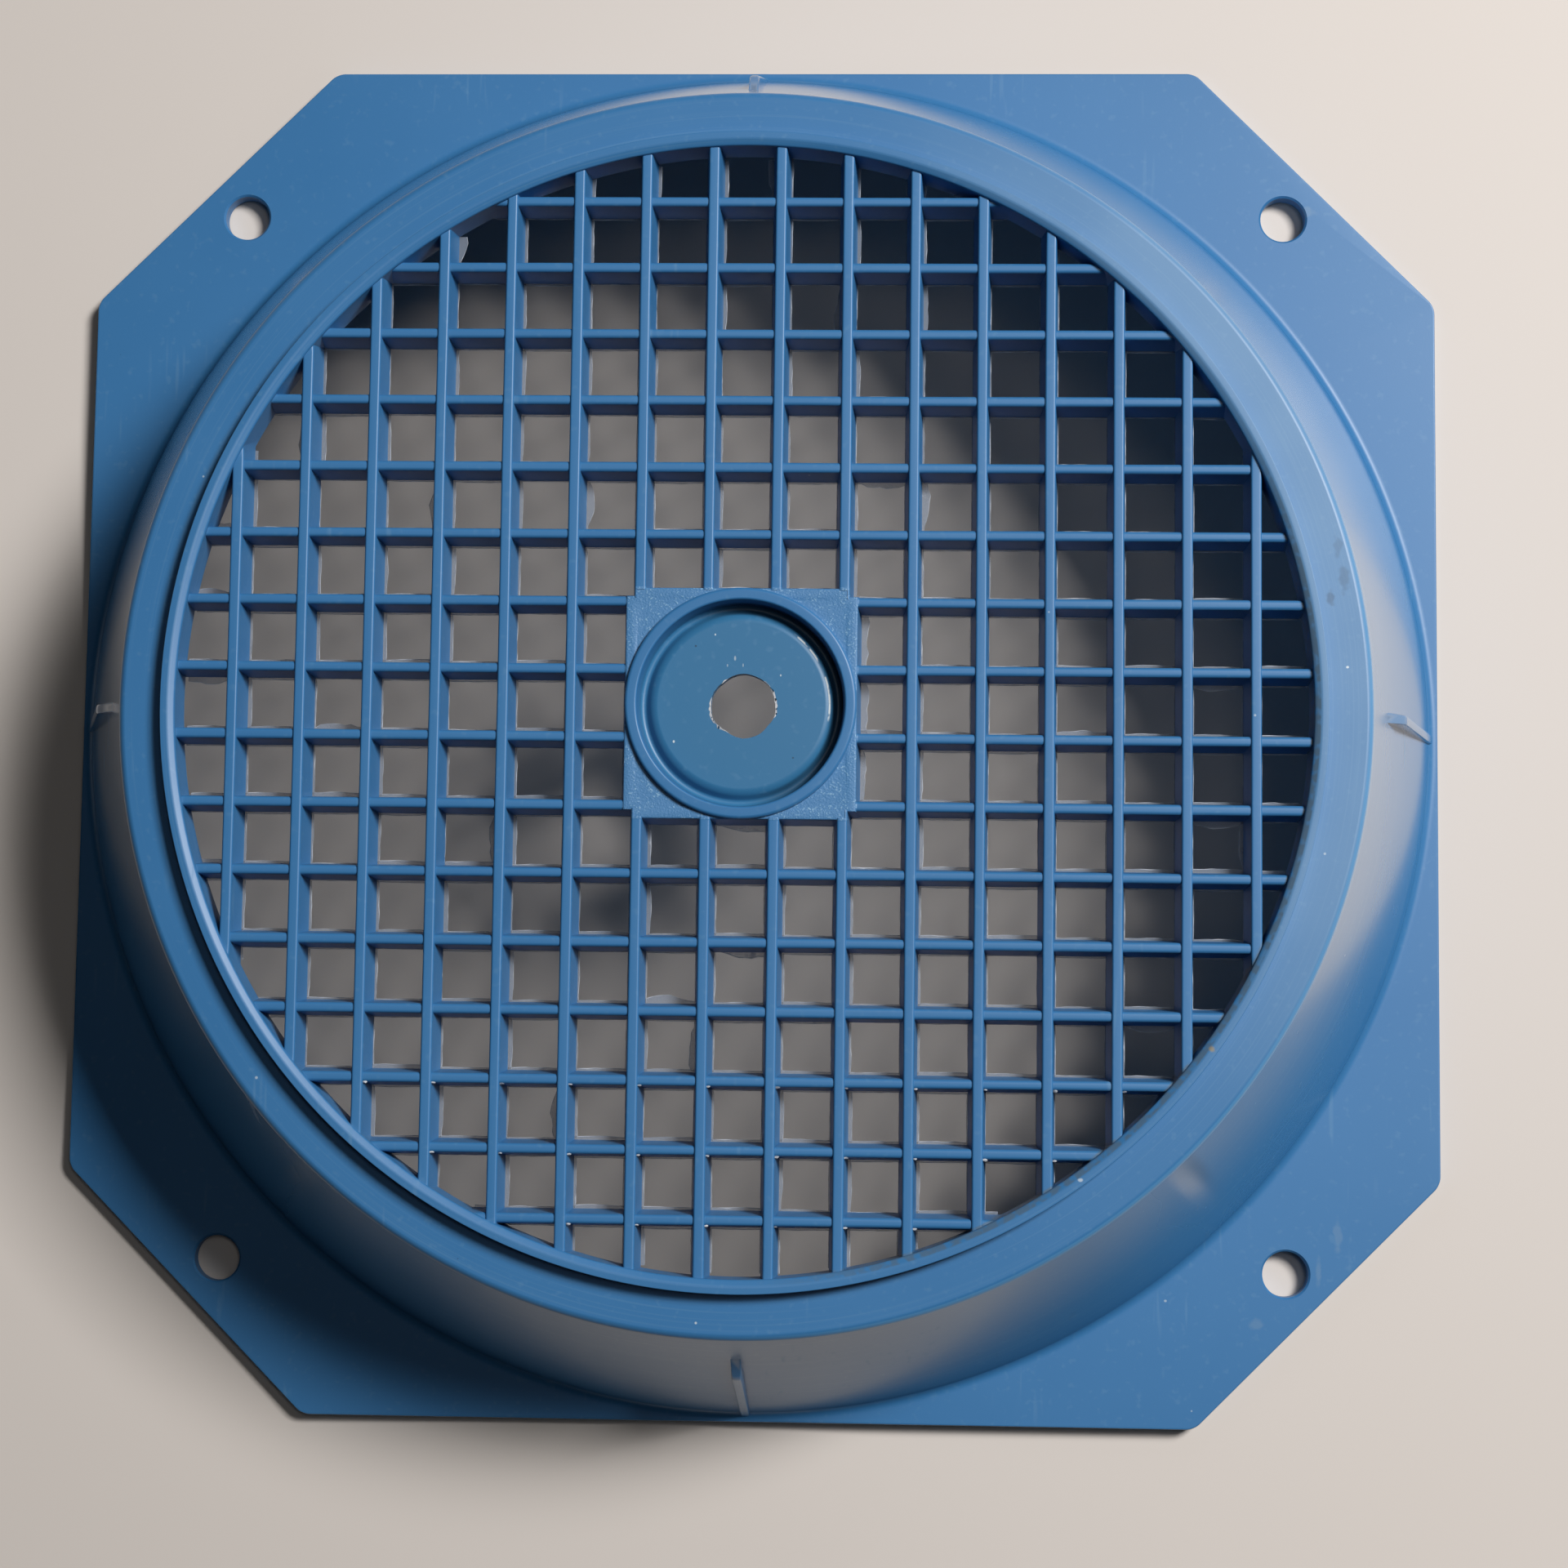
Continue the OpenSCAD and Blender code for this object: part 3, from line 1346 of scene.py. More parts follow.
class Effect:
    """A shader group that turns places on the cover into masks, values or heights."""

    name: str = ""
    plugs_in: tuple[Plug, ...] = ()
    plugs_out: tuple[Plug, ...] = ()

    def wire(self, nodes: Nodes, plugs: Sockets) -> Sockets:
        """Lay out the inside of the group.

        Args:
            nodes: Adds nodes to the group.
            plugs: The group's inputs by name.

        Returns:
            The group's outputs by name.
        """
        raise NotImplementedError

    def tree(self) -> bpy.types.NodeTree:
        """Make the group once and find it again later.

        Returns:
            The group.
        """
        found = bpy.data.node_groups.get(self.name)
        if found:
            return found
        tree = bpy.data.node_groups.new(self.name, "ShaderNodeTree")
        for way, plugs in (("INPUT", self.plugs_in), ("OUTPUT", self.plugs_out)):
            for plug in plugs:
                tree.interface.new_socket(plug.name, in_out=way, socket_type=plug.kind.value)
        nodes = Nodes(tree)
        entry = tree.nodes.new("NodeGroupInput")
        leave = tree.nodes.new("NodeGroupOutput")
        results = self.wire(nodes, {plug.name: entry.outputs[plug.name] for plug in self.plugs_in})
        nodes.fill(leave, **results)
        return tree

    def use(self, nodes: Nodes, **inputs: object) -> Sockets:
        """Add the group to a tree.

        Args:
            nodes: Adds nodes to that tree.
            inputs: The group's inputs by name, sockets or values.

        Returns:
            The group's outputs by name.
        """
        node = nodes.add("Group")
        node.node_tree = self.tree()
        nodes.fill(node, **inputs)
        return {plug.name: node.outputs[plug.name] for plug in self.plugs_out}


class RoundPlace(Effect):
    """Radius, height and greater half width in millimetres, and the angle round the axis in radians."""

    name = "round_place"
    plugs_in = (PLACE,)
    plugs_out = (Plug("Radius"), Plug("Angle"), Plug("Height"), Plug("Across"))

    def wire(self, nodes: Nodes, plugs: Sockets) -> Sockets:
        """Split the place into its parts.

        Args:
            nodes: Adds nodes to the group.
            plugs: The group's inputs by name.

        Returns:
            The four measures by name.
        """
        x, y, z = nodes.add("SeparateXYZ", Vector=plugs["Place"]).outputs
        squares = [nodes.math("MULTIPLY", part, part) for part in (x, y)]
        reach = nodes.math("SQRT", nodes.math("ADD", *squares))
        wide = nodes.math("MAXIMUM", nodes.math("ABSOLUTE", x), nodes.math("ABSOLUTE", y))
        return {
            "Radius": nodes.math("DIVIDE", reach, MM),
            "Angle": nodes.math("ARCTAN2", y, x),
            "Height": nodes.math("DIVIDE", z, MM),
            "Across": nodes.math("DIVIDE", wide, MM),
        }


class Band(Effect):
    """Mask that is 1 between two values and fades out past them."""

    name = "band"
    plugs_in = (Plug("Value"), Plug("Low"), Plug("High"), Plug("Fade"))
    plugs_out = (Plug("Mask"),)

    def wire(self, nodes: Nodes, plugs: Sockets) -> Sockets:
        """Multiply a rise at the low end with a fall at the high end.

        Args:
            nodes: Adds nodes to the group.
            plugs: The group's inputs by name.

        Returns:
            The mask by name.
        """
        value, fade = plugs["Value"], plugs["Fade"]
        rise = nodes.ramp(value, nodes.math("SUBTRACT", plugs["Low"], fade), plugs["Low"])
        past = nodes.ramp(value, plugs["High"], nodes.math("ADD", plugs["High"], fade))
        return {"Mask": nodes.math("MULTIPLY", rise, nodes.math("SUBTRACT", 1.0, past))}


class ToolMarks(Effect):
    """Fine rings that the turned mould left round the axis, broken up along the turn."""

    name = "tool_marks"
    plugs_in = (Plug("Radius"), Plug("Angle"), Plug("Height"))
    plugs_out = (Plug("Lines"),)
    lines_per_mm: float = 2.6
    turn_reach: float = 1.3
    detail: float = 2.0
    roughness: float = 0.6

    def wire(self, nodes: Nodes, plugs: Sockets) -> Sockets:
        """Stretch noise round the axis.

        Args:
            nodes: Adds nodes to the group.
            plugs: The group's inputs by name.

        Returns:
            The lines by name.
        """
        outwards = nodes.math("ADD", plugs["Radius"], plugs["Height"])
        place = nodes.add(
            "CombineXYZ",
            X=nodes.math("MULTIPLY", outwards, self.lines_per_mm),
            Y=nodes.math("MULTIPLY", nodes.math("SINE", plugs["Angle"]), self.turn_reach),
            Z=nodes.math("MULTIPLY", nodes.math("COSINE", plugs["Angle"]), self.turn_reach),
        )
        return {"Lines": nodes.noise(place.outputs[0], 1.0, self.detail, self.roughness)}


class Specks(Effect):
    """Sparse small pale and dark specks, each of its own size."""

    name = "specks"
    plugs_in = (PLACE, Plug("Size"))
    plugs_out = (Plug("Pale"), Plug("Dark"))
    cell_scale: float = 200.0
    core: float = 0.5
    pale_above: float = 0.88
    dark_below: float = 0.1

    def wire(self, nodes: Nodes, plugs: Sockets) -> Sockets:
        """Keep the middles of a few cells of a cell pattern.

        Args:
            nodes: Adds nodes to the group.
            plugs: The group's inputs by name.

        Returns:
            The masks of the pale and the dark specks by name.
        """
        cells = nodes.add("TexVoronoi", Vector=plugs["Place"], Scale=self.cell_scale).outputs
        pick = nodes.add("SeparateColor", Color=cells["Color"]).outputs
        size = nodes.math("MULTIPLY", plugs["Size"], pick[1])
        dot = nodes.ramp(cells["Distance"], nodes.math("MULTIPLY", size, self.core), size, 1.0, 0.0)
        pale = nodes.math("GREATER_THAN", pick[0], self.pale_above)
        dark = nodes.math("LESS_THAN", pick[0], self.dark_below)
        return {
            "Pale": nodes.math("MULTIPLY", dot, pale),
            "Dark": nodes.math("MULTIPLY", dot, dark),
        }


class Spot(Effect):
    """Mask round one place, with a ragged edge.

    Spread is 1 over the half sizes in metres. Shift is the centre in half sizes, with its sign turned.
    """

    name = "spot"
    plugs_in = (
        PLACE,
        Plug("Spread", PlugKind.VECTOR),
        Plug("Shift", PlugKind.VECTOR),
        Plug("Rough"),
        Plug("Ragged"),
        Plug("Strength"),
    )
    plugs_out = (Plug("Mask"),)
    core: float = 0.45

    def wire(self, nodes: Nodes, plugs: Sockets) -> Sockets:
        """Fade with the distance from the centre.

        Args:
            nodes: Adds nodes to the group.
            plugs: The group's inputs by name.

        Returns:
            The mask by name.
        """
        offset = nodes.vector("MULTIPLY_ADD", plugs["Place"], plugs["Spread"], plugs["Shift"])
        away = nodes.vector("LENGTH", offset)
        edge = nodes.math("MULTIPLY_ADD", plugs["Rough"], plugs["Ragged"], away)
        return {"Mask": nodes.ramp(edge, self.core, 1.0, plugs["Strength"], 0.0)}


class PlasticSkin(Effect):
    """Fine skin of the moulded plastic, slow clouds in its colour, flecks and thin scuffs."""

    name = "plastic_skin"
    plugs_in = (PLACE,)
    plugs_out = (Plug("Grain"), Plug("Clouds"), Plug("Flecks"), Plug("Scuffs"))
    grain_scale: float = 3400.0
    fleck_scale: float = 800.0
    cloud_scale: float = 30.0
    cloud_detail: float = 2.0
    cloud_roughness: float = 0.55
    scuff_scales: Triple = (800.0, 60.0, 300.0)
    scuff_range: Range = (0.66, 0.78)
    scuffed_clouds: Range = (0.5, 0.62)

    def wire(self, nodes: Nodes, plugs: Sockets) -> Sockets:
        """Take noise at several widths.

        Args:
            nodes: Adds nodes to the group.
            plugs: The group's inputs by name.

        Returns:
            The four patterns by name.
        """
        place = plugs["Place"]
        clouds = nodes.noise(place, self.cloud_scale, self.cloud_detail, self.cloud_roughness)
        thin = nodes.noise(nodes.vector("MULTIPLY", place, self.scuff_scales), 1.0)
        scuffs = nodes.ramp(thin, *self.scuff_range)
        return {
            "Grain": nodes.noise(place, self.grain_scale),
            "Clouds": clouds,
            "Flecks": nodes.noise(place, self.fleck_scale),
            "Scuffs": nodes.math("MULTIPLY", scuffs, nodes.ramp(clouds, *self.scuffed_clouds)),
        }


class Tint(Enum):
    """Colours of marks on the plastic, some of which also serve for painted shade, highlights, sheen and
    reflection.
    """

    # Chalk: pale specks and marks; also the painted highlight along the edge of the cup's floor
    CHALK_AND_GLINT = (0.62, 0.68, 0.7)
    # Painted pale reflection on the upper wall's right side
    PAINTED_REFLECTION = (0.36, 0.4, 0.45)
    # Painted sheen of the lamps on the ring's right side
    BLOOM = (0.33, 0.47, 0.6)
    WORN = (0.17, 0.27, 0.38)
    GRIT = (0.085, 0.115, 0.13)
    # Grease: dark specks and smudges; also the painted shadow in the cup's groove
    GREASE_AND_SHADE = (0.012, 0.03, 0.055)
    RUST = (0.3, 0.24, 0.12)


@dataclass(frozen=True)
class Mark:
    """One mark that the photograph shows: where it is, its half sizes in millimetres, and its tint."""

    at: Triple
    half: Triple
    tint: Tint
    strength: float
    ragged: float = 0.5


MARKS: tuple[Mark, ...] = (
    Mark((-3.95, 10.34, 43.4), (0.16, 0.2, 0.3), Tint.CHALK_AND_GLINT, 0.8),
    Mark((-6.81, 8.63, 43.4), (0.2, 0.18, 0.3), Tint.GREASE_AND_SHADE, 0.75),
    Mark((-9.83, -5.53, 43.4), (0.2, 0.26, 0.3), Tint.CHALK_AND_GLINT, 0.9),
    Mark((5.75, 4.37, 43.4), (0.14, 0.2, 0.3), Tint.CHALK_AND_GLINT, 0.7),
    Mark((7.7, -7.78, 43.4), (0.2, 0.18, 0.3), Tint.GREASE_AND_SHADE, 0.7),
    Mark((-1.0, 6.9, 43.4), (0.18, 0.45, 0.3), Tint.CHALK_AND_GLINT, 0.45, 0.9),
    Mark((-2.1, 5.8, 43.4), (0.12, 0.3, 0.3), Tint.CHALK_AND_GLINT, 0.4, 0.9),
    Mark((0.2, 5.8, 43.4), (0.12, 0.35, 0.3), Tint.CHALK_AND_GLINT, 0.45, 0.9),
    Mark((88.37, 6.2, 43.6), (0.3, 0.25, 0.4), Tint.CHALK_AND_GLINT, 0.9),
    Mark((-5.27, -89.71, 43.6), (0.22, 0.22, 0.4), Tint.CHALK_AND_GLINT, 0.7),
    Mark((85.9, 16.3, 43.6), (0.9, 1.5, 0.6), Tint.GREASE_AND_SHADE, 0.4, 1.2),
    Mark((87.9, 19.2, 43.6), (1.0, 2.3, 0.6), Tint.GREASE_AND_SHADE, 0.3, 1.3),
    Mark((87.0, 24.0, 43.6), (0.8, 2.0, 0.6), Tint.GREASE_AND_SHADE, 0.22, 1.3),
    Mark((68.42, -49.52, 46.2), (0.6, 0.6, 0.8), Tint.RUST, 0.75, 1.2),
    Mark((49.71, -68.37, 46.2), (0.5, 0.35, 0.8), Tint.CHALK_AND_GLINT, 0.6, 1.0),
    Mark((92.6, -78.4, 3.0), (0.8, 3.2, 0.6), Tint.WORN, 0.3, 1.1),
    Mark((89.6, -84.0, 3.0), (0.6, 2.6, 0.6), Tint.WORN, 0.3, 1.0),
    Mark((87.6, 85.6, 3.0), (2.4, 1.2, 0.6), Tint.WORN, 0.35, 1.1),
    Mark((65.73, -88.85, 3.0), (0.3, 0.25, 0.4), Tint.CHALK_AND_GLINT, 0.45),
    Mark((79.87, -92.28, 3.0), (1.6, 1.0, 0.4), Tint.WORN, 0.3, 1.1),
)


@dataclass(frozen=True)
class BluePlastic:
    """Semi-gloss blue moulding plastic with tool marks, grain, clouds, specks and the marks of use, and
    with painted shadow, highlights, glints, sheen and reflection.
    """

    sizes: CoverSizes
    name: str = "blue_moulded_plastic"
    colour: Colour = (0.0295, 0.15, 0.344)
    pale: Colour = (0.04, 0.173, 0.377)
    # Lighter blue of the painted highlight along the shoulder
    shoulder_highlight_colour: Colour = (0.1, 0.29, 0.52)
    cup_colour: Colour = (0.0295, 0.152, 0.304)
    etched_colour: Colour = (0.09, 0.23, 0.43)
    # Pale colour of the glints painted on the tips of the plate's etched grain
    grain_glint_colour: Colour = (0.22, 0.4, 0.57)
    worn_colour: Colour = (0.12, 0.26, 0.42)
    roughness: float = 0.44
    cloud_dulling: float = 0.12
    scuff_dulling: float = 0.12
    etched_dulling: float = 0.08
    wall_gloss: float = 0.2
    wall_coat: float = 0.6
    coat_roughness: float = 0.16
    ior: float = 1.52
    grain_height: float = 0.35
    etched_height: float = 6.0
    line_height: float = 0.2
    bump_strength: float = 0.5
    bump_distance: float = 0.00002
    speck_size: float = 0.06
    dull_share: float = 0.65
    # Height at which the painted reflection on the wall begins, and depths under the ring face between
    # which the painted highlight on the shoulder fades in
    reflection_from: float = 12.0
    highlight_depths: Range = (1.6, 1.0)
    # Values of the fine patterns between which each kind of wear, each painted glint and the painted
    # sheen sets in
    line_wear: Range = (0.5, 0.75)
    fleck_wear: Range = (0.6, 0.8)
    edge_glint_flecks: Range = (0.36, 0.5)
    grit_flecks: Range = (0.3, 0.55)
    grain_glint_flecks: Range = (0.42, 0.6)
    grain_glint_heights: Range = (0.56, 0.7)
    sheen_clouds: Range = (0.2, 0.7)
    sheen_shares: Range = (0.5, 1.0)

    def limits(self) -> dict[str, tuple[str, float, float, float]]:
        """List where the areas that look different lie.

        Returns:
            By name, the measure that an area goes by, its low end, its high end and its fade, in
            millimetres or radians.
        """
        s = self.sizes
        return {
            "sunk": ("Height", s.cup_under, s.cup_floor + 0.3, 0.3),
            "cup": ("Radius", -1.0, s.mouth_r - 0.4, 0.3),
            "groove": ("Radius", s.floor_r + 0.3, s.mouth_r - 0.4, 0.5),
            # The groove's side towards the lamp, where the rim's shadow is painted
            "shadowed_groove_side": ("Angle", -1.0, 1.6, 0.6),
            # Edge of the cup's floor and its side towards the lamp, where a highlight is painted
            "floor_edge": ("Radius", s.floor_r - 0.5, s.floor_r - 0.34, 0.1),
            "edge_glint_side": ("Angle", -0.1, 0.85, 0.12),
            "past_rim": ("Radius", s.rim_r, 2 * s.rim_r, 0.15),
            "plate": ("Across", -1.0, s.plate_reach, 0.2),
            "plate_face": ("Height", s.cross_top - 0.6, s.rim_top, 0.3),
            "turned": ("Radius", s.collar_in_r, s.base_r, 0.5),
            "wall": ("Radius", s.shoulder_at, s.base_r, 0.5),
            "wall_face": ("Height", s.flange_t + 1.0, s.ring_top - 1.0, 0.8),
            "dull_side": ("Angle", -2.1, -1.1, 0.35),
            # Right side of the wall, where a pale reflection is painted
            "reflecting_side": ("Angle", -1.05, 1.1, 0.6),
            "ring": ("Radius", s.collar_in_r + 0.6, s.shoulder_at + 0.4, 0.5),
            # Right and upper right side of the ring, where a sheen is painted
            "sheen_side": ("Angle", -0.2, 0.85, 0.6),
            # Shoulder and its right and lower right side, where a highlight is painted
            "shoulder": ("Radius", s.shoulder_at - 0.25, s.shoulder_at + 0.3, 0.2),
            "highlight_side": ("Angle", -1.3, 0.2, 0.4),
            "bevel": ("Radius", s.collar_in_r - 0.2, s.collar_in_r + s.collar_bevel - 0.2, 0.2),
            "gritty_side": ("Angle", -1.2, 0.2, 0.4),
        }

    def areas(self, nodes: Nodes, place: Socket) -> Sockets:
        """Make the masks of the areas that look different, painted light and shade among them, and the
        fine patterns.

        Args:
            nodes: Adds nodes to the material.
            place: Place on the cover.

        Returns:
            The masks by name.
        """
        ring_top = self.sizes.ring_top
        limits = self.limits()
        at = RoundPlace().use(nodes, Place=place)
        masks = PlasticSkin().use(nodes, Place=place)
        masks |= ToolMarks().use(nodes, Radius=at["Radius"], Angle=at["Angle"], Height=at["Height"])

        def band(name: str) -> Socket:
            """Mask of one area."""
            measure, low, high, fade = limits[name]
            return Band().use(nodes, Value=at[measure], Low=low, High=high, Fade=fade)["Mask"]

        def meet(mask: Socket, *others: Socket) -> Socket:
            """Multiply masks.

            Args:
                mask: The first mask.
                others: The other masks.

            Returns:
                The mask where all of them meet.
            """
            for other in others:
                mask = nodes.math("MULTIPLY", mask, other)
            return mask

        sunk = band("sunk")
        masks["Cup"] = meet(band("cup"), sunk)
        # Painted shadow of the rim in the groove round the cup's floor, on the side towards the lamp
        masks["Groove"] = meet(band("groove"), sunk, band("shadowed_groove_side"))
        # Painted highlight, broken up, along the edge of the cup's floor on the side towards the lamp
        edge_glint_breaks = meet(nodes.ramp(masks["Flecks"], *self.edge_glint_flecks), sunk)
        masks["Frayed"] = meet(band("floor_edge"), band("edge_glint_side"), edge_glint_breaks)
        masks["Etched"] = meet(band("past_rim"), band("plate"), band("plate_face"))
        masks["Turned"] = band("turned")
        wall = meet(band("wall"), band("wall_face"))
        clean = nodes.math("MULTIPLY_ADD", band("dull_side"), -self.dull_share, 1.0)
        masks["Wall"] = meet(wall, clean)
        # Painted pale reflection on the upper part of the wall's right side
        reflecting = meet(band("reflecting_side"), nodes.ramp(at["Height"], self.reflection_from, ring_top))
        masks["Haze"] = meet(wall, reflecting)
        # Painted sheen on the ring's right side, patchy with the clouds
        sheen_patches = nodes.ramp(masks["Clouds"], *self.sheen_clouds, *self.sheen_shares)
        masks["Bloom"] = meet(band("ring"), band("sheen_side"), sheen_patches)
        # Painted highlight along the shoulder's edge on the right and lower right
        near_top = nodes.ramp(at["Height"], *(ring_top - depth for depth in self.highlight_depths))
        masks["Edge"] = meet(band("shoulder"), band("highlight_side"), near_top)
        gritty = nodes.ramp(masks["Flecks"], *self.grit_flecks)
        masks["Grit"] = meet(band("bevel"), gritty, band("gritty_side"))
        # Painted glints on the tips of the plate's etched grain
        glinting_tips = nodes.ramp(masks["Grain"], *self.grain_glint_heights)
        masks["Tips"] = meet(masks["Etched"], glinting_tips, nodes.ramp(masks["Flecks"], *self.grain_glint_flecks))
        return masks

    def colours(self, nodes: Nodes, place: Socket, masks: Sockets) -> Socket:
        """Mix the base colour, painted light and shade included.

        Args:
            nodes: Adds nodes to the material.
            place: Place on the cover.
            masks: Masks of the areas and of the fine patterns.

        Returns:
            The colour.
        """
        specks = Specks().use(nodes, Place=place, Size=self.speck_size)
        worn_lines = nodes.math("MULTIPLY", nodes.ramp(masks["Lines"], *self.line_wear), masks["Turned"])
        worn_flecks = nodes.ramp(masks["Flecks"], *self.fleck_wear)
        colour = nodes.blend(masks["Clouds"], self.colour, self.pale)
        for share, mask, tint in (
            (1.0, masks["Cup"], self.cup_colour),
            (0.45, masks["Etched"], self.etched_colour),
            (0.22, worn_lines, self.worn_colour),
            (0.2, worn_flecks, self.worn_colour),
            (0.3, masks["Scuffs"], self.worn_colour),
            # Painted shadow in the cup's groove
            (0.6, masks["Groove"], Tint.GREASE_AND_SHADE.value),
            # Painted reflection on the wall
            (0.38, masks["Haze"], Tint.PAINTED_REFLECTION.value),
            # Painted sheen on the ring
            (0.28, masks["Bloom"], Tint.BLOOM.value),
            (0.6, masks["Grit"], Tint.GRIT.value),
            # Painted highlight on the shoulder
            (0.5, masks["Edge"], self.shoulder_highlight_colour),
            # Painted glints on the plate's grain
            (0.9, masks["Tips"], self.grain_glint_colour),
            # Painted highlight along the edge of the cup's floor
            (1.0, masks["Frayed"], Tint.CHALK_AND_GLINT.value),
            (0.5, specks["Pale"], Tint.CHALK_AND_GLINT.value),
            (0.5, specks["Dark"], Tint.GREASE_AND_SHADE.value),
        ):
            colour = nodes.blend(nodes.math("MULTIPLY", mask, share), colour, tint)
        rough = nodes.math("SUBTRACT", masks["Flecks"], NOISE_MEAN)
        for mark in MARKS:
            spot = Spot().use(
                nodes,
                Place=place,
                Spread=tuple(1 / (half * MM) for half in mark.half),
                Shift=tuple(-middle / half for middle, half in zip(mark.at, mark.half)),
                Rough=rough,
                Ragged=mark.ragged,
                Strength=mark.strength,
            )
            colour = nodes.blend(spot["Mask"], colour, mark.tint.value)
        return colour

    def build(self) -> Material:
        """Make the material.

        Returns:
            The material.
        """
        material, nodes, shader = new_material(self.name)
        place = nodes.add("TexCoord").outputs["Object"]
        masks = self.areas(nodes, place)
        rough = self.roughness - self.cloud_dulling / 2
        for name, dulling in (
            ("Clouds", self.cloud_dulling),
            ("Scuffs", self.scuff_dulling),
            ("Etched", self.etched_dulling),
            ("Wall", -self.wall_gloss),
        ):
            rough = nodes.math("MULTIPLY_ADD", masks[name], dulling, rough)
        coarse = nodes.math("MULTIPLY_ADD", masks["Etched"], self.etched_height, self.grain_height)
        coarse = nodes.math("MULTIPLY_ADD", masks["Wall"], -self.grain_height, coarse)
        grain = nodes.math("MULTIPLY", masks["Grain"], coarse)
        turned = nodes.math("MULTIPLY", masks["Lines"], masks["Turned"])
        height = nodes.math("MULTIPLY_ADD", turned, self.line_height, grain)
        nodes.fill(
            shader,
            Base_Color=self.colours(nodes, place, masks),
            Roughness=rough,
            IOR=self.ior,
            Normal=nodes.bump(height, self.bump_strength, self.bump_distance),
            Coat_Weight=nodes.math("MULTIPLY", masks["Wall"], self.wall_coat),
            Coat_Roughness=self.coat_roughness,
        )
        return material


@dataclass(frozen=True)
class ThinFilm:
    """Thin flash plastic: clear and greyish within, pale along its free edge."""

    name: str = "thin_flash_film"
    inner: Colour = (0.3, 0.34, 0.4)
    edge: Colour = (0.55, 0.56, 0.58)
    cover: float = 0.32
    edge_cover: float = 0.95
    roughness: float = 0.4
    streak_scale: float = 420.0
    streak_detail: float = 3.0
    streak_mean: float = 0.55
    streak_share: float = 2.4
    edge_from: float = 0.2
    bump_strength: float = 0.4
    bump_distance: float = 0.00003

    def build(self) -> Material:
        """Make the material.

        Returns:
            The material.
        """
        material, nodes, shader = new_material(self.name)
        place = nodes.add("TexCoord").outputs["Object"]
        marked = nodes.add("Attribute")
        marked.attribute_name = RIM
        streaks = nodes.noise(place, self.streak_scale, self.streak_detail)
        swing = nodes.math("SUBTRACT", streaks, self.streak_mean)
        uneven = nodes.math("MULTIPLY_ADD", swing, self.streak_share, marked.outputs["Fac"])
        rim = nodes.ramp(uneven, self.edge_from, 1.0)
        nodes.fill(
            shader,
            Base_Color=nodes.blend(rim, self.inner, self.edge),
            Alpha=nodes.math("MULTIPLY_ADD", rim, self.edge_cover - self.cover, self.cover),
            Roughness=self.roughness,
            Normal=nodes.bump(streaks, self.bump_strength, self.bump_distance),
        )
        return material


@dataclass(frozen=True)
class SoftLamp:
    """One soft rectangle of light that looks at the cover."""

    name: str
    azimuth: float
    elevation: float
    distance: float
    size: Range
    power: float

    def build(self) -> SceneObject:
        """Hang the lamp.

        Returns:
            The lamp.
        """
        azimuth, elevation = math.radians(self.azimuth), math.radians(self.elevation)
        flat = math.cos(elevation)
        way = Vector((flat * math.cos(azimuth), flat * math.sin(azimuth), math.sin(elevation)))
        data = bpy.data.lights.new(self.name, "AREA")
        data.shape = "RECTANGLE"
        data.size, data.size_y = self.size
        data.energy = self.power
        lamp = bpy.data.objects.new(self.name, data)
        lamp.location = way * self.distance
        lamp.rotation_mode = "QUATERNION"
        lamp.rotation_quaternion = way.to_track_quat("Z", "Y")
        bpy.context.scene.collection.objects.link(lamp)
        return lamp


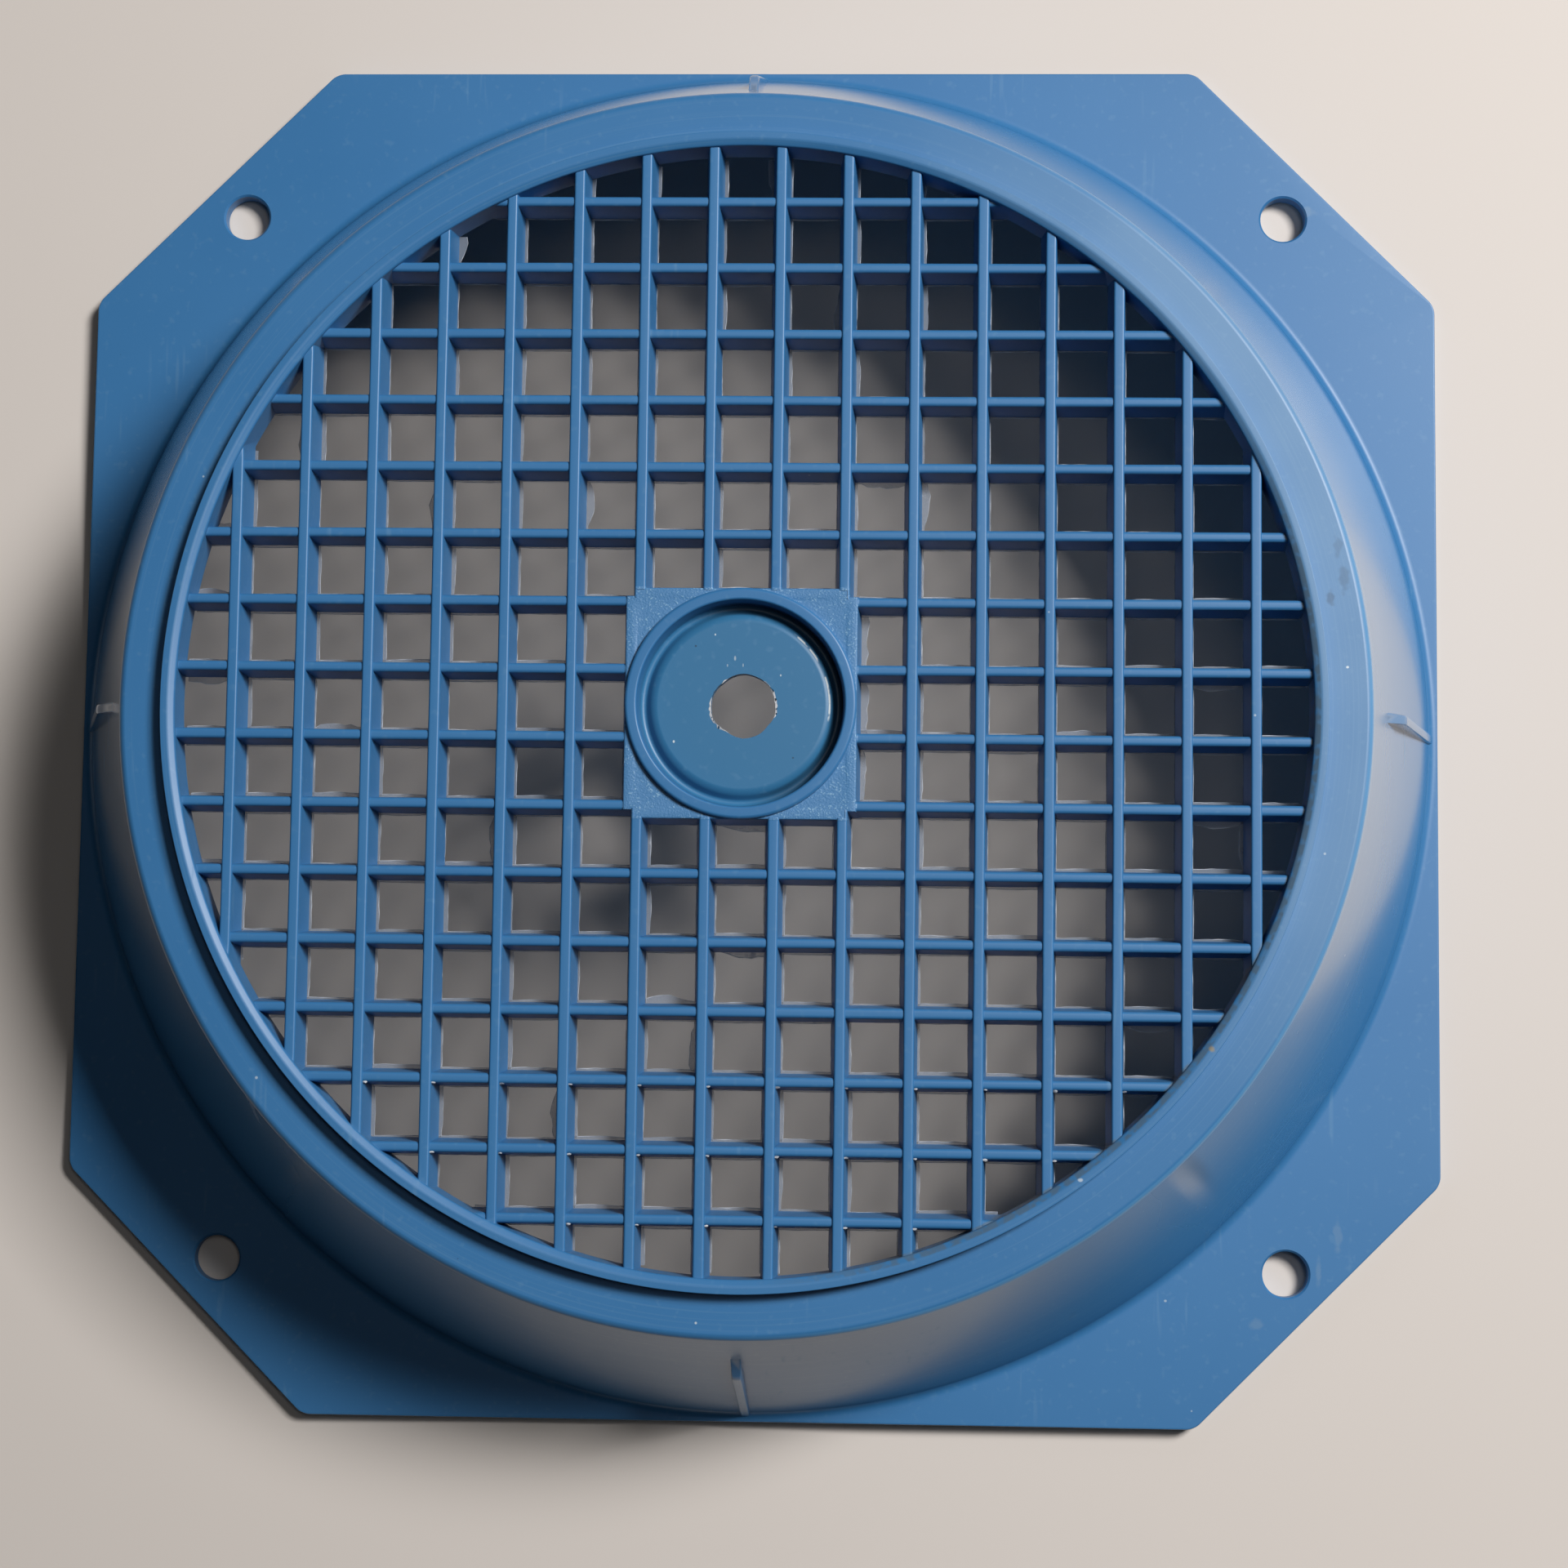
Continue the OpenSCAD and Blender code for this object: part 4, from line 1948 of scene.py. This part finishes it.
@dataclass(frozen=True)
class Studio:
    """Pale floor, a soft window of light, a weak fill and the camera at the photograph's view."""

    floor_size: float = 2.2
    floor_drop: float = 0.0003
    floor_colour: Colour = (0.66, 0.6, 0.55)
    floor_roughness: float = 0.7
    floor_shine: float = 0.2
    lamps: tuple[SoftLamp, ...] = (
        SoftLamp(
            "window_light", azimuth=32.0, elevation=51.0, distance=1.3, size=(0.32, 0.4), power=20.0
        ),
        SoftLamp(
            "ceiling_light", azimuth=29.0, elevation=78.0, distance=1.3, size=(0.4, 0.24), power=0.95
        ),
    )
    fill: float = 0.006
    backdrop: Colour = (0.8, 0.78, 0.75)
    lens: float = 67.5
    sensor: float = 36.0
    camera_at: Triple = (0.023444, -0.050071, 0.47148)
    camera_turn: Triple = (5.15548, 2.20926, 0.73597)

    def floor(self) -> SceneObject:
        """Lay the floor just under the cover.

        Returns:
            The floor.
        """
        bm = bmesh.new()
        bmesh.ops.create_grid(bm, x_segments=1, y_segments=1, size=self.floor_size / 2)
        bmesh.ops.translate(bm, verts=bm.verts[:], vec=(0, 0, -self.floor_drop))
        floor = to_object("floor", bm)
        material, nodes, shader = new_material("pale_floor")
        nodes.fill(
            shader,
            Base_Color=(*self.floor_colour, 1.0),
            Roughness=self.floor_roughness,
            Specular_IOR_Level=self.floor_shine,
        )
        floor.data.materials.append(material)
        return floor

    def world(self) -> None:
        """Set a weak even fill, and a pale backdrop for what the camera sees past the floor."""
        world = bpy.data.worlds.new("studio")
        world.use_nodes = True
        nodes = Nodes(world.node_tree)
        surface = world.node_tree.nodes["Background"]
        fill = (self.fill, self.fill, self.fill)
        seen = nodes.add("LightPath").outputs["Is Camera Ray"]
        nodes.fill(surface, Color=nodes.blend(seen, fill, self.backdrop))
        bpy.context.scene.world = world

    def camera(self) -> SceneObject:
        """Place the camera at the photograph's view.

        Returns:
            The camera.
        """
        data = bpy.data.cameras.new("photo_view")
        data.lens = self.lens
        data.sensor_width = self.sensor
        camera = bpy.data.objects.new("photo_view", data)
        camera.location = self.camera_at
        camera.rotation_euler = Euler([math.radians(turn) for turn in self.camera_turn], "XYZ")
        bpy.context.scene.collection.objects.link(camera)
        bpy.context.scene.camera = camera
        return camera

    def build(self) -> None:
        """Set the stage and the view transform."""
        self.camera()
        self.floor()
        for lamp in self.lamps:
            lamp.build()
        self.world()
        bpy.context.scene.view_settings.view_transform = "Standard"


def dress(piece: SceneObject, material: Material) -> None:
    """Give a piece its material and its body.

    Args:
        piece: The piece.
        material: Its material.
    """
    piece.data.materials.clear()
    piece.data.materials.append(material)
    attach(piece, BODY)
    log.info("%s: %d faces", piece.name, len(piece.data.polygons))


def main() -> None:
    """Build the stage and the cover in order."""
    logging.basicConfig(level=logging.INFO, format="%(name)s %(message)s")
    Studio().build()
    sizes = CoverSizes.from_frame()
    film = ThinFilm().build()
    dress(Moulding(sizes).build(), BluePlastic(sizes).build())
    dress(MouldFlash(sizes).build(), film)
    dress(HoleBurr(CentreCup(sizes)).build(), film)


if __name__ == "__main__":
    main()
